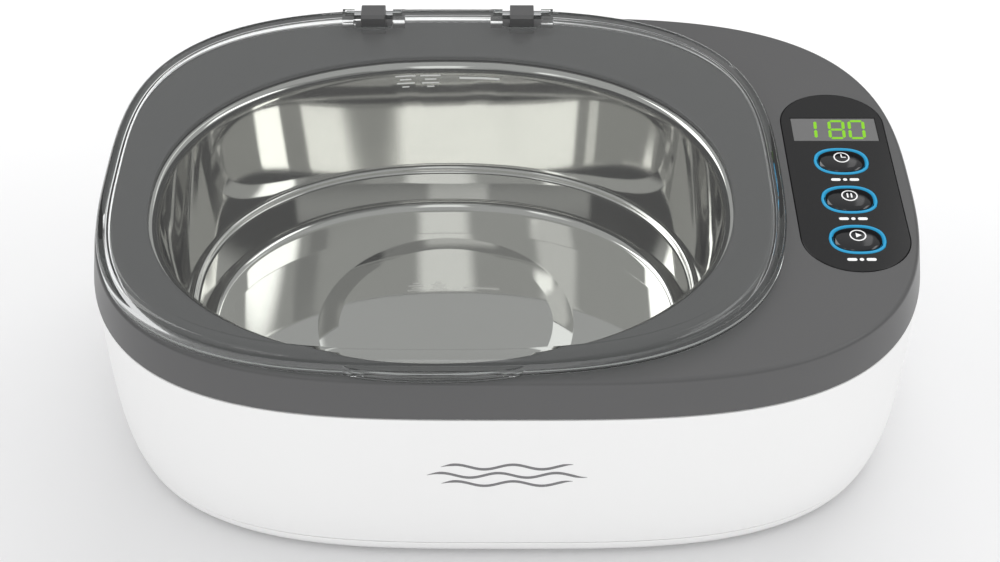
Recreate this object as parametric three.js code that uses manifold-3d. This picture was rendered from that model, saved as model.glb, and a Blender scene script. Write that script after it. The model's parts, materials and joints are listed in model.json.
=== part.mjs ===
// Household ultrasonic cleaner with a hinged clear lid, in millimetres, +Z up.
// The origin is on the surface it stands on, under the middle of the body. The control panel is on
// the right (+X), the lid's hinge is at the back (+Y) and its finger tab is at the front (-Y).

import * as THREE from 'three';
import { mergeVertices } from 'three/addons/utils/BufferGeometryUtils.js';
import Module from 'manifold-3d';

const wasm = await Module();
wasm.setup();

// ---------------------------------------------------------------- driving dimensions

const GAP = 0.3; // between pieces that touch
const OUTLINE_SEGMENTS = 40;

const FOOT_STANDOFF = 1.5; // feet below the bottom cover
const BODY_HEIGHT = 65; // bottom cover's underside to the deck
const DECK_Z = FOOT_STANDOFF + BODY_HEIGHT;
const BAND_HEIGHT = 11.2; // the dark band above the white shell
const BAND_DRAFT = 1.58; // the band narrows this much up to the deck
const BAND_Z = DECK_Z - BAND_HEIGHT;
const DECK_FILLET = 1.2;
const DECK_THICKNESS = 2.4;
const TRAY_HEIGHT = 5.2; // bottom cover's rim
const TRAY_TOP_Z = FOOT_STANDOFF + TRAY_HEIGHT;
const TRAY_FLOOR_Z = 4.5;
const WALL = 2.6;
const BOTTOM_TUCK = 3.4; // how far the wall curves in at the bottom
const TUCK_POWER = 6;
const LIP_DEPTH = 5.5; // top cover's lip inside the white shell

const BODY = { x: 0, y: 0, halfWidth: 106.58, halfDepth: 74.33, powerX: 3.37, powerY: 2.84 };
const TANK = { x: -16.83, y: -6.97, halfWidth: 74.92, halfDepth: 59.02, powerX: 2.19, powerY: 2.19 };
const LID = { x: -16.4, y: -1, halfWidth: 87.3, halfDepth: 70.5, powerX: 2.9, powerY: 3 };

const STEEL = 0.8;
const FLANGE_Z = DECK_Z - 1.5; // top of the tank's flange, in a rebate under the deck
const FLANGE_WIDTH = 4;
const RIM_BEND = 2.6;
const TANK_LEDGE_Z = DECK_Z - 34;
const TANK_LEDGE_OFFSET = -6.5;
const TANK_STEP = 2.2; // the ledge steps this far in
const TANK_FLOOR_Z = DECK_Z - 47.7;
const TANK_FLOOR_FILLET = 3;
const EMBOSS = { outerRadius: 35.2, innerRadius: 29.4, rise: 1 };

const LID_UNDERSIDE = 0.5; // clearance of the lid's rim above the deck
const LID_TOP_Z = DECK_Z + 5.9;
const LID_THICKNESS = 2.2;
const LID_EDGE_RADIUS = 2.5;
const NOTCH = { width: 11, frontY: 59.5, cornerRadius: 2 };
const HINGE_X = [-38.1, 4.2];
const HINGE_AXIS = { y: 67.4, z: DECK_Z + 4.2 };
const PIN_RADIUS = 1.2;
const PIN_BITE = 2.5; // depth of each pin end in the lid's ears
const EAR = { width: 3.4, frontY: 64.2, backY: 68.6, lowZ: DECK_Z + 0.9, highZ: DECK_Z + 5.4 };
const CLIP = {
  width: 6.8,
  frontY: 62.6,
  backY: 69.9,
  topZ: DECK_Z + 7,
  backRadius: 2.4,
  legFrontY: 64.1,
  legBackY: 67.9,
  legDepth: 6,
};
const TAB = { x: -17, y: -69.9, halfWidth: 22, halfDepth: 4, lowZ: DECK_Z + 0.9, highZ: DECK_Z + 4.1 };

const PANEL = { x: 87.6, y: 0.15, halfWidth: 13.8, halfLength: 35.45, straight: 23, thickness: 1.6 };
const DISPLAY = { x: 87.95, y: 20.4, width: 22.7, depth: 9.6 };
const BUTTON_X = 88;
const BUTTONS = [
  { name: 'timer', y: 7 },
  { name: 'pause', y: -8.3 },
  { name: 'start', y: -23.5 },
];
const RING = { halfWidth: 7.1, halfDepth: 5.3, thickness: 0.6, power: 2.4 };
const CAP_CLEARANCE = 0.35; // between a button's cap and its ring
const BUTTON_SEGMENTS = 20;
const BUTTON_UNDERSIDE_Z = DECK_Z - 4.3;
const BUTTON_TRAVEL = 0.6;
const PANEL_FLOOR_Z = DECK_Z - PANEL.thickness;
const PANEL_FACE_Z = DECK_Z + 0.15;
const CONTROL_BOARD = { x: 81.6, width: 31, depth: 66, topZ: 58, thickness: 1.6 };

const POWER_BOARD = { x: 72.5, width: 37, depth: 80, bottomZ: 8, thickness: 1.6 };
const BOARD_SCREWS = [[58.5, 35.5], [58.5, -35.5], [86.5, 35.5], [86.5, -35.5]];
const PANEL_SCREWS = [[69.5, 30.2], [69.5, -30.2], [94, 30.6], [94, -30.6]];
const BODY_SCREWS = [[-86, 43], [-86, -43], [86, 43], [86, -43]];
const POST = { radius: 4.2, lowZ: 10.5, highZ: 46, ribReach: 96.6, ribLowZ: 14, ribThickness: 3.2 };
const FEET = [[-62, 47], [-62, -47], [62, 47], [62, -47]];
const BOARD_TOP_Z = POWER_BOARD.bottomZ + POWER_BOARD.thickness + GAP;
const TRANSFORMER = { x: 79, y: -22, width: 24, depth: 12, height: 20, legWidth: 6, yoke: 3 };
const INDUCTOR = { x: 75, y: 0, radius: 6.5, tube: 2.6 };
const HEAT_SINK = { x: 58.5, y: -20, length: 24, height: 28, finDepth: 3.5, plate: 1.5 };
const RIBBON = { x: 72, y: 12.5, width: 5, thickness: 0.8 };
const SOCKET = { radius: 3.9, waist: 5.6, depth: 10 };
const INLET_PIN_RADIUS = 1.2;
const LEAD_RADIUS = 0.8;
const INLET = { x: 30, z: 24, width: 22, height: 13, depth: 15, faceY: 72.8, pinSpacing: 8.6 };

// ---------------------------------------------------------------- materials

const FINISHES = {
  white_plastic: { color: 0xf1f1f0, roughness: 0.32, metalness: 0 },
  grey_plastic: { color: 0x58595a, roughness: 0.45, metalness: 0 },
  clear_plastic: { color: 0xdfe3e4, roughness: 0.05, metalness: 0, transparent: true, opacity: 0.3 },
  polished_steel: { color: 0xb9bab2, roughness: 0.08, metalness: 1 },
  pin_steel: { color: 0xc4c6c8, roughness: 0.2, metalness: 1 },
  fascia_black: { color: 0x1c1c1d, roughness: 0.12, metalness: 0 },
  button_black: { color: 0x0d0e10, roughness: 0.1, metalness: 0 },
  ring_blue: { color: 0x3fa9d8, roughness: 0.3, metalness: 0 },
  display_grey: { color: 0x7b7c7b, roughness: 0.15, metalness: 0 },
  silicone: { color: 0xd8d6cf, roughness: 0.7, metalness: 0 },
  foot_rubber: { color: 0x2a2a2a, roughness: 0.85, metalness: 0 },
  circuit_board: { color: 0x1f6b3a, roughness: 0.5, metalness: 0 },
  component_black: { color: 0x1b1b1d, roughness: 0.5, metalness: 0 },
  component_red: { color: 0x9d3b25, roughness: 0.4, metalness: 0 },
  ferrite: { color: 0x3a3a3c, roughness: 0.6, metalness: 0.1 },
  copper_winding: { color: 0xb5713a, roughness: 0.35, metalness: 0.9 },
  aluminium: { color: 0xc9cbcd, roughness: 0.35, metalness: 1 },
  piezo_ceramic: { color: 0xcfc7b4, roughness: 0.6, metalness: 0 },
  fuse_glass: { color: 0xe6ebec, roughness: 0.08, metalness: 0 },
  screw_steel: { color: 0x9b9da0, roughness: 0.35, metalness: 1 },
  lead_red: { color: 0xb3231d, roughness: 0.5, metalness: 0 },
  lead_black: { color: 0x18181a, roughness: 0.5, metalness: 0 },
  ribbon_grey: { color: 0x8d8f92, roughness: 0.6, metalness: 0 },
};

const cleaner = new THREE.Group();
cleaner.name = 'ultrasonic_cleaner';

function addPart(name, finish, geometry, x = 0, y = 0, z = 0) {
  const mesh = new THREE.Mesh(geometry, new THREE.MeshStandardMaterial(FINISHES[finish]));
  mesh.name = name;
  mesh.position.set(x, y, z);
  cleaner.add(mesh);
  return mesh;
}

// ---------------------------------------------------------------- solids

// A closed geometry with shared vertices and no zero-area triangles.
function closed(geometry) {
  const bare = geometry.clone();
  bare.deleteAttribute('normal');
  bare.deleteAttribute('uv');
  const merged = mergeVertices(bare, 1e-4);
  const index = merged.index.array;
  const kept = [];
  for (let i = 0; i < index.length; i += 3) {
    const [a, b, c] = [index[i], index[i + 1], index[i + 2]];
    if (a !== b && b !== c && c !== a) kept.push(a, b, c);
  }
  merged.setIndex(kept);
  return merged;
}

function toSolid(geometry) {
  const merged = closed(geometry);
  return new wasm.Manifold(new wasm.Mesh({
    numProp: 3,
    vertProperties: new Float32Array(merged.attributes.position.array),
    triVerts: new Uint32Array(merged.index.array),
  }));
}

function toGeometry(solid) {
  const mesh = solid.getMesh();
  const geometry = new THREE.BufferGeometry();
  geometry.setAttribute('position', new THREE.BufferAttribute(mesh.vertProperties.slice(), 3));
  geometry.setIndex(new THREE.BufferAttribute(mesh.triVerts.slice(), 1));
  geometry.computeVertexNormals();
  return geometry;
}

function combine(base, { add = [], cut = [] }) {
  let solid = toSolid(base);
  for (const piece of add) solid = solid.add(toSolid(piece));
  for (const piece of cut) solid = solid.subtract(toSolid(piece));
  return toGeometry(solid);
}

// Point on a superellipse outline, moved out by offset.
function outlinePoint(outline, angle, offset = 0) {
  const across = Math.cos(angle);
  const along = Math.sin(angle);
  const width = outline.halfWidth + offset;
  const depth = outline.halfDepth + offset;
  return new THREE.Vector2(
    outline.x + width * Math.sign(across) * Math.abs(across) ** (2 / outline.powerX),
    outline.y + depth * Math.sign(along) * Math.abs(along) ** (2 / outline.powerY),
  );
}

function outlineShape(outline, offset = 0, segments = OUTLINE_SEGMENTS) {
  const points = [];
  for (let i = 0; i < segments; i += 1) {
    points.push(outlinePoint(outline, (i / segments) * 2 * Math.PI, offset));
  }
  return new THREE.Shape(points);
}

// A prism of the shape between two heights.
function prism(shape, lowZ, highZ, curveSegments = 12) {
  const options = { depth: highZ - lowZ, bevelEnabled: false, curveSegments };
  return new THREE.ExtrudeGeometry(shape, options).translate(0, 0, lowZ);
}

// Prisms of a section drawn in the YZ plane or the XZ plane.
const SECTION_YZ = new THREE.Matrix4().makeBasis(
  new THREE.Vector3(0, 1, 0),
  new THREE.Vector3(0, 0, 1),
  new THREE.Vector3(1, 0, 0),
);
function prismAlongX(shape, lowX, highX, curveSegments = 8) {
  return prism(shape, lowX, highX, curveSegments).applyMatrix4(SECTION_YZ);
}

function prismAlongY(shape, lowY, highY, curveSegments = 8) {
  return prism(shape, -highY, -lowY, curveSegments).rotateX(Math.PI / 2);
}

// A section swept round an outline. The profile holds [offset from the outline, height] pairs, up
// the outside and down the inside; ON_AXIS closes it over the middle.
const ON_AXIS = null;
function sweepOutline(outline, profile, segments = OUTLINE_SEGMENTS) {
  const section = profile.map(([offset, z]) => (
    new THREE.Vector2(offset === ON_AXIS ? 0 : outline.halfDepth + offset, z)
  ));
  const geometry = new THREE.LatheGeometry(section, segments).rotateX(Math.PI / 2);
  const position = geometry.attributes.position;
  for (let i = 0; i < position.count; i += 1) {
    const radius = Math.hypot(position.getX(i), position.getY(i));
    if (radius < 1e-6) {
      position.setXY(i, outline.x, outline.y);
    } else {
      const angle = Math.atan2(position.getY(i), position.getX(i));
      const point = outlinePoint(outline, angle, radius - outline.halfDepth);
      position.setXY(i, point.x, point.y);
    }
  }
  return closed(geometry);
}

// A turned piece about the Z axis.
function turned(profile, segments = 24) {
  const section = profile.map(([radius, z]) => new THREE.Vector2(radius, z));
  return closed(new THREE.LatheGeometry(section, segments).rotateX(Math.PI / 2));
}

function rod(radius, lowZ, highZ, segments = 12) {
  return turned([[0, lowZ], [radius, lowZ], [radius, highZ], [0, highZ]], segments);
}

function rodAlongX(radius, lowX, highX, y, z, segments = 12) {
  return rod(radius, lowX, highX, segments).rotateY(Math.PI / 2).translate(0, y, z);
}

function rodAlongY(radius, lowY, highY, x, z, segments = 12) {
  return rod(radius, -highY, -lowY, segments).rotateX(Math.PI / 2).translate(x, 0, z);
}

function block(lowX, highX, lowY, highY, lowZ, highZ) {
  return new THREE.BoxGeometry(highX - lowX, highY - lowY, highZ - lowZ)
    .translate((lowX + highX) / 2, (lowY + highY) / 2, (lowZ + highZ) / 2);
}

function centredBlock(x, y, width, depth, lowZ, highZ) {
  return block(x - width / 2, x + width / 2, y - depth / 2, y + depth / 2, lowZ, highZ);
}

// Points of a circular arc for a profile, from one angle to another in degrees.
function arc(offset, z, radius, fromDegrees, toDegrees, steps) {
  const points = [];
  for (let i = 0; i <= steps; i += 1) {
    const angle = THREE.MathUtils.degToRad(fromDegrees + ((toDegrees - fromDegrees) * i) / steps);
    points.push([offset + radius * Math.cos(angle), z + radius * Math.sin(angle)]);
  }
  return points;
}

function roundedRectangle(x, y, width, depth, radius) {
  const [left, right, low, high] = [x - width / 2, x + width / 2, y - depth / 2, y + depth / 2];
  const shape = new THREE.Shape();
  shape.moveTo(left + radius, low);
  shape.lineTo(right - radius, low);
  shape.absarc(right - radius, low + radius, radius, -Math.PI / 2, 0, false);
  shape.lineTo(right, high - radius);
  shape.absarc(right - radius, high - radius, radius, 0, Math.PI / 2, false);
  shape.lineTo(left + radius, high);
  shape.absarc(left + radius, high - radius, radius, Math.PI / 2, Math.PI, false);
  shape.lineTo(left, low + radius);
  shape.absarc(left + radius, low + radius, radius, Math.PI, 1.5 * Math.PI, false);
  return shape;
}

function inletShape(offset) {
  return roundedRectangle(INLET.x, INLET.z, INLET.width + 2 * offset, INLET.height + 2 * offset, 3 + offset);
}

// How far the body's wall is tucked in at a height below the band.
function wallOffset(z) {
  const depth = THREE.MathUtils.clamp((BAND_Z - z) / (BAND_Z - FOOT_STANDOFF), 0, 1);
  return -BOTTOM_TUCK * depth ** TUCK_POWER;
}

// ---------------------------------------------------------------- housing

function makeBaseShell() {
  const lowZ = TRAY_TOP_Z + GAP / 2;
  const highZ = BAND_Z - GAP / 2;
  const outside = [lowZ, 9.5, 13, 19, 28, highZ].map((z) => [wallOffset(z), z]);
  const inside = [highZ, 28, 13, lowZ].map((z) => [wallOffset(z) - WALL, z]);
  const posts = BODY_SCREWS.map(([x, y]) => (
    rod(POST.radius, POST.lowZ, POST.highZ).translate(x, y, 0)
  ));
  const ribs = BODY_SCREWS.map(([x, y]) => block(
    Math.min(x, Math.sign(x) * POST.ribReach),
    Math.max(x, Math.sign(x) * POST.ribReach),
    y - POST.ribThickness / 2,
    y + POST.ribThickness / 2,
    POST.ribLowZ,
    POST.highZ,
  ));
  const screwHoles = BODY_SCREWS.map(([x, y]) => rod(1.9, 10, 24, 10).translate(x, y, 0));
  const inletHole = prismAlongY(inletShape(GAP), 60, 90);
  return combine(sweepOutline(BODY, [...outside, ...inside, outside[0]]), {
    add: [...posts, ...ribs],
    cut: [...screwHoles, inletHole],
  });
}

function makeBottomCover() {
  const highZ = TRAY_TOP_Z - GAP / 2;
  const tongue = wallOffset(highZ) - WALL - GAP - 0.6;
  const profile = [
    [ON_AXIS, FOOT_STANDOFF],
    [-BOTTOM_TUCK - 1.4, FOOT_STANDOFF],
    [-BOTTOM_TUCK - 0.3, FOOT_STANDOFF + 0.5],
    [wallOffset(3.6), 3.6],
    [wallOffset(highZ), highZ],
    [tongue, highZ],
    [tongue, highZ + 2.6],
    [tongue - 1.8, highZ + 2.6],
    [tongue - 1.8, TRAY_FLOOR_Z],
    [ON_AXIS, TRAY_FLOOR_Z],
  ];
  const posts = BOARD_SCREWS.map(([x, y]) => rod(3.2, TRAY_FLOOR_Z - 1, POWER_BOARD.bottomZ - GAP, 10)
    .translate(x, y, 0));
  const pilotHoles = BOARD_SCREWS.map(([x, y]) => rod(1.7, TRAY_FLOOR_Z - 1, 12, 8).translate(x, y, 0));
  const screwHoles = BODY_SCREWS.map(([x, y]) => turned(
    [[0, 0], [3.5, 0], [3.5, 3.4], [1.9, 3.4], [1.9, 12], [0, 12]],
    12,
  ).translate(x, y, 0));
  const footSeats = FEET.map(([x, y]) => rod(6.3, 0, 2.4, 16).translate(x, y, 0));
  return combine(sweepOutline(BODY, profile), {
    add: posts,
    cut: [...pilotHoles, ...screwHoles, ...footSeats],
  });
}

function panelShape(offset, arcSteps = 10) {
  const points = [];
  const endDepth = PANEL.halfLength - PANEL.straight;
  for (const end of [1, -1]) {
    for (let i = 0; i <= arcSteps; i += 1) {
      const angle = (i / arcSteps) * Math.PI;
      points.push(new THREE.Vector2(
        PANEL.x + end * (PANEL.halfWidth + offset) * Math.cos(angle),
        PANEL.y + end * (PANEL.straight + (endDepth + offset) * Math.sin(angle)),
      ));
    }
  }
  return new THREE.Shape(points);
}

function buttonOutline(y, inset) {
  return {
    x: BUTTON_X,
    y,
    halfWidth: RING.halfWidth - inset,
    halfDepth: RING.halfDepth - inset,
    powerX: RING.power,
    powerY: RING.power,
  };
}

function makeTopCover() {
  const innerWall = -WALL - GAP - 1.7;
  const lipFace = innerWall + 1.5;
  const lipZ = BAND_Z - LIP_DEPTH;
  const bandZ = BAND_Z + GAP / 2;
  const ceilingZ = DECK_Z - DECK_THICKNESS;
  const aboveDeckZ = DECK_Z + 1;
  const belowDeckZ = DECK_Z - 5;
  const profile = [
    [ON_AXIS, ceilingZ],
    [innerWall, ceilingZ],
    [innerWall, lipZ],
    [lipFace, lipZ],
    [lipFace, bandZ],
    [0, bandZ],
    ...arc(-BAND_DRAFT - DECK_FILLET, DECK_Z - DECK_FILLET, DECK_FILLET, 8, 90, 3),
    [ON_AXIS, DECK_Z],
  ];
  const posts = PANEL_SCREWS.map(([x, y]) => (
    rod(2.6, CONTROL_BOARD.topZ + GAP, ceilingZ + 0.5, 10).translate(x, y, 0)
  ));
  const pilotHoles = PANEL_SCREWS.map(([x, y]) => (
    rod(1.4, CONTROL_BOARD.topZ, ceilingZ - 0.6, 8).translate(x, y, 0)
  ));
  const clipSlots = HINGE_X.map((x) => block(
    x - CLIP.width / 2 - GAP,
    x + CLIP.width / 2 + GAP,
    CLIP.legFrontY - GAP,
    CLIP.legBackY + GAP,
    belowDeckZ,
    aboveDeckZ,
  ));
  const buttonHoles = BUTTONS.map(({ y }) => prism(
    outlineShape(buttonOutline(y, RING.thickness + CAP_CLEARANCE - GAP), 0, BUTTON_SEGMENTS),
    belowDeckZ,
    aboveDeckZ,
  ));
  const lensSeat = 1.6;
  const displayHole = centredBlock(
    DISPLAY.x, DISPLAY.y, DISPLAY.width - lensSeat, DISPLAY.depth - lensSeat, belowDeckZ, aboveDeckZ,
  );
  return combine(sweepOutline(BODY, profile), {
    add: posts,
    cut: [
      prism(outlineShape(TANK), belowDeckZ, aboveDeckZ),
      prism(outlineShape(TANK, FLANGE_WIDTH + GAP), belowDeckZ, FLANGE_Z + GAP),
      prism(panelShape(GAP), PANEL_FLOOR_Z, aboveDeckZ),
      ...pilotHoles,
      ...clipSlots,
      ...buttonHoles,
      displayHole,
    ],
  });
}

function makeTank() {
  const underBend = RIM_BEND - STEEL;
  const bendZ = FLANGE_Z - RIM_BEND;
  const floorTurn = TANK_LEDGE_OFFSET - TANK_STEP - 0.9 - TANK_FLOOR_FILLET;
  const turnZ = TANK_FLOOR_Z + TANK_FLOOR_FILLET;
  const ledge = TANK_LEDGE_OFFSET;
  const ledgeZ = TANK_LEDGE_Z;
  const profile = [
    [ON_AXIS, TANK_FLOOR_Z - STEEL],
    ...arc(floorTurn, turnZ, TANK_FLOOR_FILLET + STEEL, -90, 0, 3),
    [ledge - TANK_STEP + 0.6, ledgeZ - 2.6],
    [ledge - TANK_STEP + 1.2, ledgeZ - 2],
    [ledge + 0.4, ledgeZ - 1.5],
    [ledge + STEEL, ledgeZ - 0.4],
    ...arc(0, bendZ, underBend, 180, 90, 3),
    [FLANGE_WIDTH, FLANGE_Z - STEEL],
    [FLANGE_WIDTH, FLANGE_Z],
    ...arc(0, bendZ, RIM_BEND, 90, 180, 4),
    [ledge, ledgeZ],
    [ledge - 0.35, ledgeZ - 0.85],
    [ledge - 1.2, ledgeZ - 1.2],
    [ledge - TANK_STEP + 0.3, ledgeZ - 1.5],
    [ledge - TANK_STEP - 0.2, ledgeZ - 2.2],
    ...arc(floorTurn, turnZ, TANK_FLOOR_FILLET, 0, -90, 3),
    [ON_AXIS, TANK_FLOOR_Z],
  ];
  const { outerRadius, innerRadius, rise } = EMBOSS;
  const raised = turned([
    [0, TANK_FLOOR_Z - STEEL / 2],
    [outerRadius, TANK_FLOOR_Z - STEEL / 2],
    [outerRadius, TANK_FLOOR_Z],
    [innerRadius, TANK_FLOOR_Z + rise],
    [0, TANK_FLOOR_Z + rise],
  ], 32).translate(TANK.x, TANK.y, 0);
  const recess = turned([
    [0, TANK_FLOOR_Z - STEEL - 1],
    [outerRadius - 0.5, TANK_FLOOR_Z - STEEL - 1],
    [outerRadius - 0.5, TANK_FLOOR_Z - STEEL],
    [innerRadius - 0.5, TANK_FLOOR_Z - STEEL + rise],
    [0, TANK_FLOOR_Z - STEEL + rise],
  ], 32).translate(TANK.x, TANK.y, 0);
  return combine(sweepOutline(TANK, profile), { add: [raised], cut: [recess] });
}

function makeGasket() {
  const highZ = FLANGE_Z - STEEL - GAP;
  const [inner, outer, lowZ] = [0.4, FLANGE_WIDTH - 0.2, highZ - 1.3];
  return sweepOutline(TANK, [
    [inner, lowZ], [outer, lowZ], [outer, highZ], [inner, highZ], [inner, lowZ],
  ]);
}

// ---------------------------------------------------------------- lid and hinge

function makeLid() {
  const rimZ = DECK_Z + LID_UNDERSIDE;
  const undersideZ = LID_TOP_Z - LID_THICKNESS;
  const rimChamfer = 0.9;
  const profile = [
    [ON_AXIS, undersideZ],
    [-LID_THICKNESS - 1.5, undersideZ],
    [-LID_THICKNESS, undersideZ - 1.3],
    [-LID_THICKNESS, rimZ],
    [-rimChamfer, rimZ],
    [0, rimZ + rimChamfer],
    ...arc(-LID_EDGE_RADIUS, LID_TOP_Z - LID_EDGE_RADIUS, LID_EDGE_RADIUS, 0, 90, 4),
    [ON_AXIS, LID_TOP_Z],
  ];
  const tabShape = new THREE.Shape();
  tabShape.absellipse(TAB.x, TAB.y, TAB.halfWidth, TAB.halfDepth, 0, 2 * Math.PI, false);
  const tab = toSolid(prism(tabShape, TAB.lowZ, TAB.highZ, 16))
    .subtract(toSolid(prism(outlineShape(LID, 0.3 - LID_THICKNESS), rimZ - 1, LID_TOP_Z + 1)));
  const ears = [];
  const notches = [];
  const pinHoles = [];
  const notchDepth = 40;
  for (const x of HINGE_X) {
    for (const side of [-1, 1]) {
      const near = x + (side * NOTCH.width) / 2;
      const far = near + side * EAR.width;
      ears.push(block(
        Math.min(near, far), Math.max(near, far), EAR.frontY, EAR.backY, EAR.lowZ, EAR.highZ,
      ));
    }
    notches.push(prism(
      roundedRectangle(x, NOTCH.frontY + notchDepth / 2, NOTCH.width, notchDepth, NOTCH.cornerRadius),
      rimZ - 1,
      LID_TOP_Z + 1,
      3,
    ));
    const reach = NOTCH.width / 2 + PIN_BITE + GAP;
    pinHoles.push(rodAlongX(PIN_RADIUS + GAP, x - reach, x + reach, HINGE_AXIS.y, HINGE_AXIS.z));
  }
  return combine(sweepOutline(LID, profile), {
    add: [toGeometry(tab), ...ears],
    cut: [...notches, ...pinHoles],
  });
}

function makeHingePin(x) {
  const reach = NOTCH.width / 2 + PIN_BITE;
  return rodAlongX(PIN_RADIUS, x - reach, x + reach, HINGE_AXIS.y, HINGE_AXIS.z);
}

function makeHingeClip(x) {
  const footZ = DECK_Z + GAP;
  const legZ = DECK_Z - CLIP.legDepth;
  const section = new THREE.Shape();
  section.moveTo(CLIP.frontY, footZ);
  section.lineTo(CLIP.legFrontY, footZ);
  section.lineTo(CLIP.legFrontY, legZ);
  section.lineTo(CLIP.legBackY, legZ);
  section.lineTo(CLIP.legBackY, footZ);
  section.lineTo(CLIP.backY, footZ);
  section.lineTo(CLIP.backY, CLIP.topZ - CLIP.backRadius);
  section.absarc(
    CLIP.backY - CLIP.backRadius, CLIP.topZ - CLIP.backRadius, CLIP.backRadius, 0, Math.PI / 2, false,
  );
  section.lineTo(CLIP.frontY + 1, CLIP.topZ);
  section.lineTo(CLIP.frontY, CLIP.topZ - 1);
  const hole = new THREE.Path();
  hole.absarc(HINGE_AXIS.y, HINGE_AXIS.z, PIN_RADIUS + GAP, 0, 2 * Math.PI, true);
  section.holes.push(hole);
  return prismAlongX(section, x - CLIP.width / 2, x + CLIP.width / 2, 5);
}

// ---------------------------------------------------------------- control panel

function makeFascia() {
  const lowZ = PANEL_FLOOR_Z + GAP;
  const ringHoles = BUTTONS.map(({ y }) => prism(
    outlineShape(buttonOutline(y, -GAP), 0, BUTTON_SEGMENTS), lowZ - 1, PANEL_FACE_Z + 1,
  ));
  const displayHole = centredBlock(
    DISPLAY.x, DISPLAY.y, DISPLAY.width + 2 * GAP, DISPLAY.depth + 2 * GAP, lowZ - 1, PANEL_FACE_Z + 1,
  );
  return combine(prism(panelShape(0), lowZ, PANEL_FACE_Z), { cut: [...ringHoles, displayHole] });
}

function makeButton(y) {
  const cap = buttonOutline(y, RING.thickness + CAP_CLEARANCE);
  const flange = 1.1;
  const flangeZ = DECK_Z - DECK_THICKNESS - GAP;
  return sweepOutline(cap, [
    [ON_AXIS, BUTTON_UNDERSIDE_Z],
    [flange, BUTTON_UNDERSIDE_Z],
    [flange, flangeZ],
    [0, flangeZ],
    [0, DECK_Z + 0.2],
    [-0.5, DECK_Z + 0.6],
    [-2, DECK_Z + 0.95],
    [ON_AXIS, DECK_Z + 1.1],
  ], BUTTON_SEGMENTS);
}

function makeButtonRing(y) {
  const lowZ = PANEL_FLOOR_Z + GAP;
  const highZ = DECK_Z + 0.45;
  return sweepOutline(buttonOutline(y, 0), [
    [-RING.thickness, lowZ], [0, lowZ], [0, highZ], [-RING.thickness, highZ], [-RING.thickness, lowZ],
  ], BUTTON_SEGMENTS);
}

function makeTactSwitch(y) {
  const lowZ = CONTROL_BOARD.topZ + GAP;
  const plungerZ = BUTTON_UNDERSIDE_Z - BUTTON_TRAVEL - GAP;
  return combine(centredBlock(BUTTON_X, y, 6, 6, lowZ, lowZ + 2.2), {
    add: [rod(1.6, lowZ + 1, plungerZ, 10).translate(BUTTON_X, y, 0)],
  });
}

function makeControlBoard() {
  const { x, width, depth, topZ, thickness } = CONTROL_BOARD;
  return combine(centredBlock(x, 0, width, depth, topZ - thickness, topZ), {
    cut: PANEL_SCREWS.map(([screwX, screwY]) => (
      rod(1.4, topZ - thickness - 1, topZ + 1, 8).translate(screwX, screwY, 0)
    )),
  });
}

// A pan-head screw pointing up (+1) or down (-1) from its head's seat.
function makeScrew(seatZ, direction, headRadius, headHeight, shankRadius, shankLength) {
  const profile = [
    [0, -headHeight],
    [headRadius, -headHeight],
    [headRadius, 0],
    [shankRadius, 0],
    [shankRadius, shankLength],
    [0, shankLength],
  ];
  const geometry = turned(profile, 8);
  if (direction < 0) geometry.rotateX(Math.PI);
  return geometry.translate(0, 0, seatZ);
}

// ---------------------------------------------------------------- drive electronics

function makePowerBoard() {
  const { x, width, depth, bottomZ, thickness } = POWER_BOARD;
  return combine(centredBlock(x, 0, width, depth, bottomZ, bottomZ + thickness), {
    cut: BOARD_SCREWS.map(([screwX, screwY]) => (
      rod(1.7, bottomZ - 1, bottomZ + thickness + 1, 8).translate(screwX, screwY, 0)
    )),
  });
}

function makeTransformerCore() {
  const { x, y, width, depth, height, legWidth, yoke } = TRANSFORMER;
  const lowZ = BOARD_TOP_Z;
  const core = centredBlock(x, y, width, depth, lowZ, lowZ + height);
  const windowWidth = (width - 2 * yoke - legWidth) / 2;
  const windows = [-1, 1].map((side) => centredBlock(
    x + (side * (legWidth + windowWidth)) / 2, y, windowWidth, depth + 2, lowZ + yoke, lowZ + height - yoke,
  ));
  return combine(core, { cut: windows });
}

function makeTransformerWinding() {
  const { x, y, width, depth, height, legWidth, yoke } = TRANSFORMER;
  const outer = width - 2 * yoke - 2 * GAP;
  const inner = legWidth + 2 * GAP;
  const build = (outer - inner) / 2;
  const lowZ = BOARD_TOP_Z + yoke + GAP;
  const highZ = BOARD_TOP_Z + height - yoke - GAP;
  return combine(centredBlock(x, y, outer, depth + 2 * GAP + 2 * build, lowZ, highZ), {
    cut: [centredBlock(x, y, inner, depth + 2 * GAP, lowZ - 1, highZ + 1)],
  });
}

function makeHeatSink() {
  const { x, y, length, height, finDepth, plate } = HEAT_SINK;
  const fins = [0, 1, 2, 3].map((i) => {
    const finY = y - length / 2 + 1 + (i * (length - 2)) / 3;
    return block(x - finDepth, x + 0.5, finY - 1, finY + 1, BOARD_TOP_Z, BOARD_TOP_Z + height);
  });
  return combine(block(x, x + plate, y - length / 2, y + length / 2, BOARD_TOP_Z, BOARD_TOP_Z + height), {
    add: fins,
  });
}

function makeInductor() {
  const { radius, tube } = INDUCTOR;
  return closed(new THREE.TorusGeometry(radius, tube, 8, 16))
    .translate(INDUCTOR.x, INDUCTOR.y, BOARD_TOP_Z + tube);
}

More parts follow.
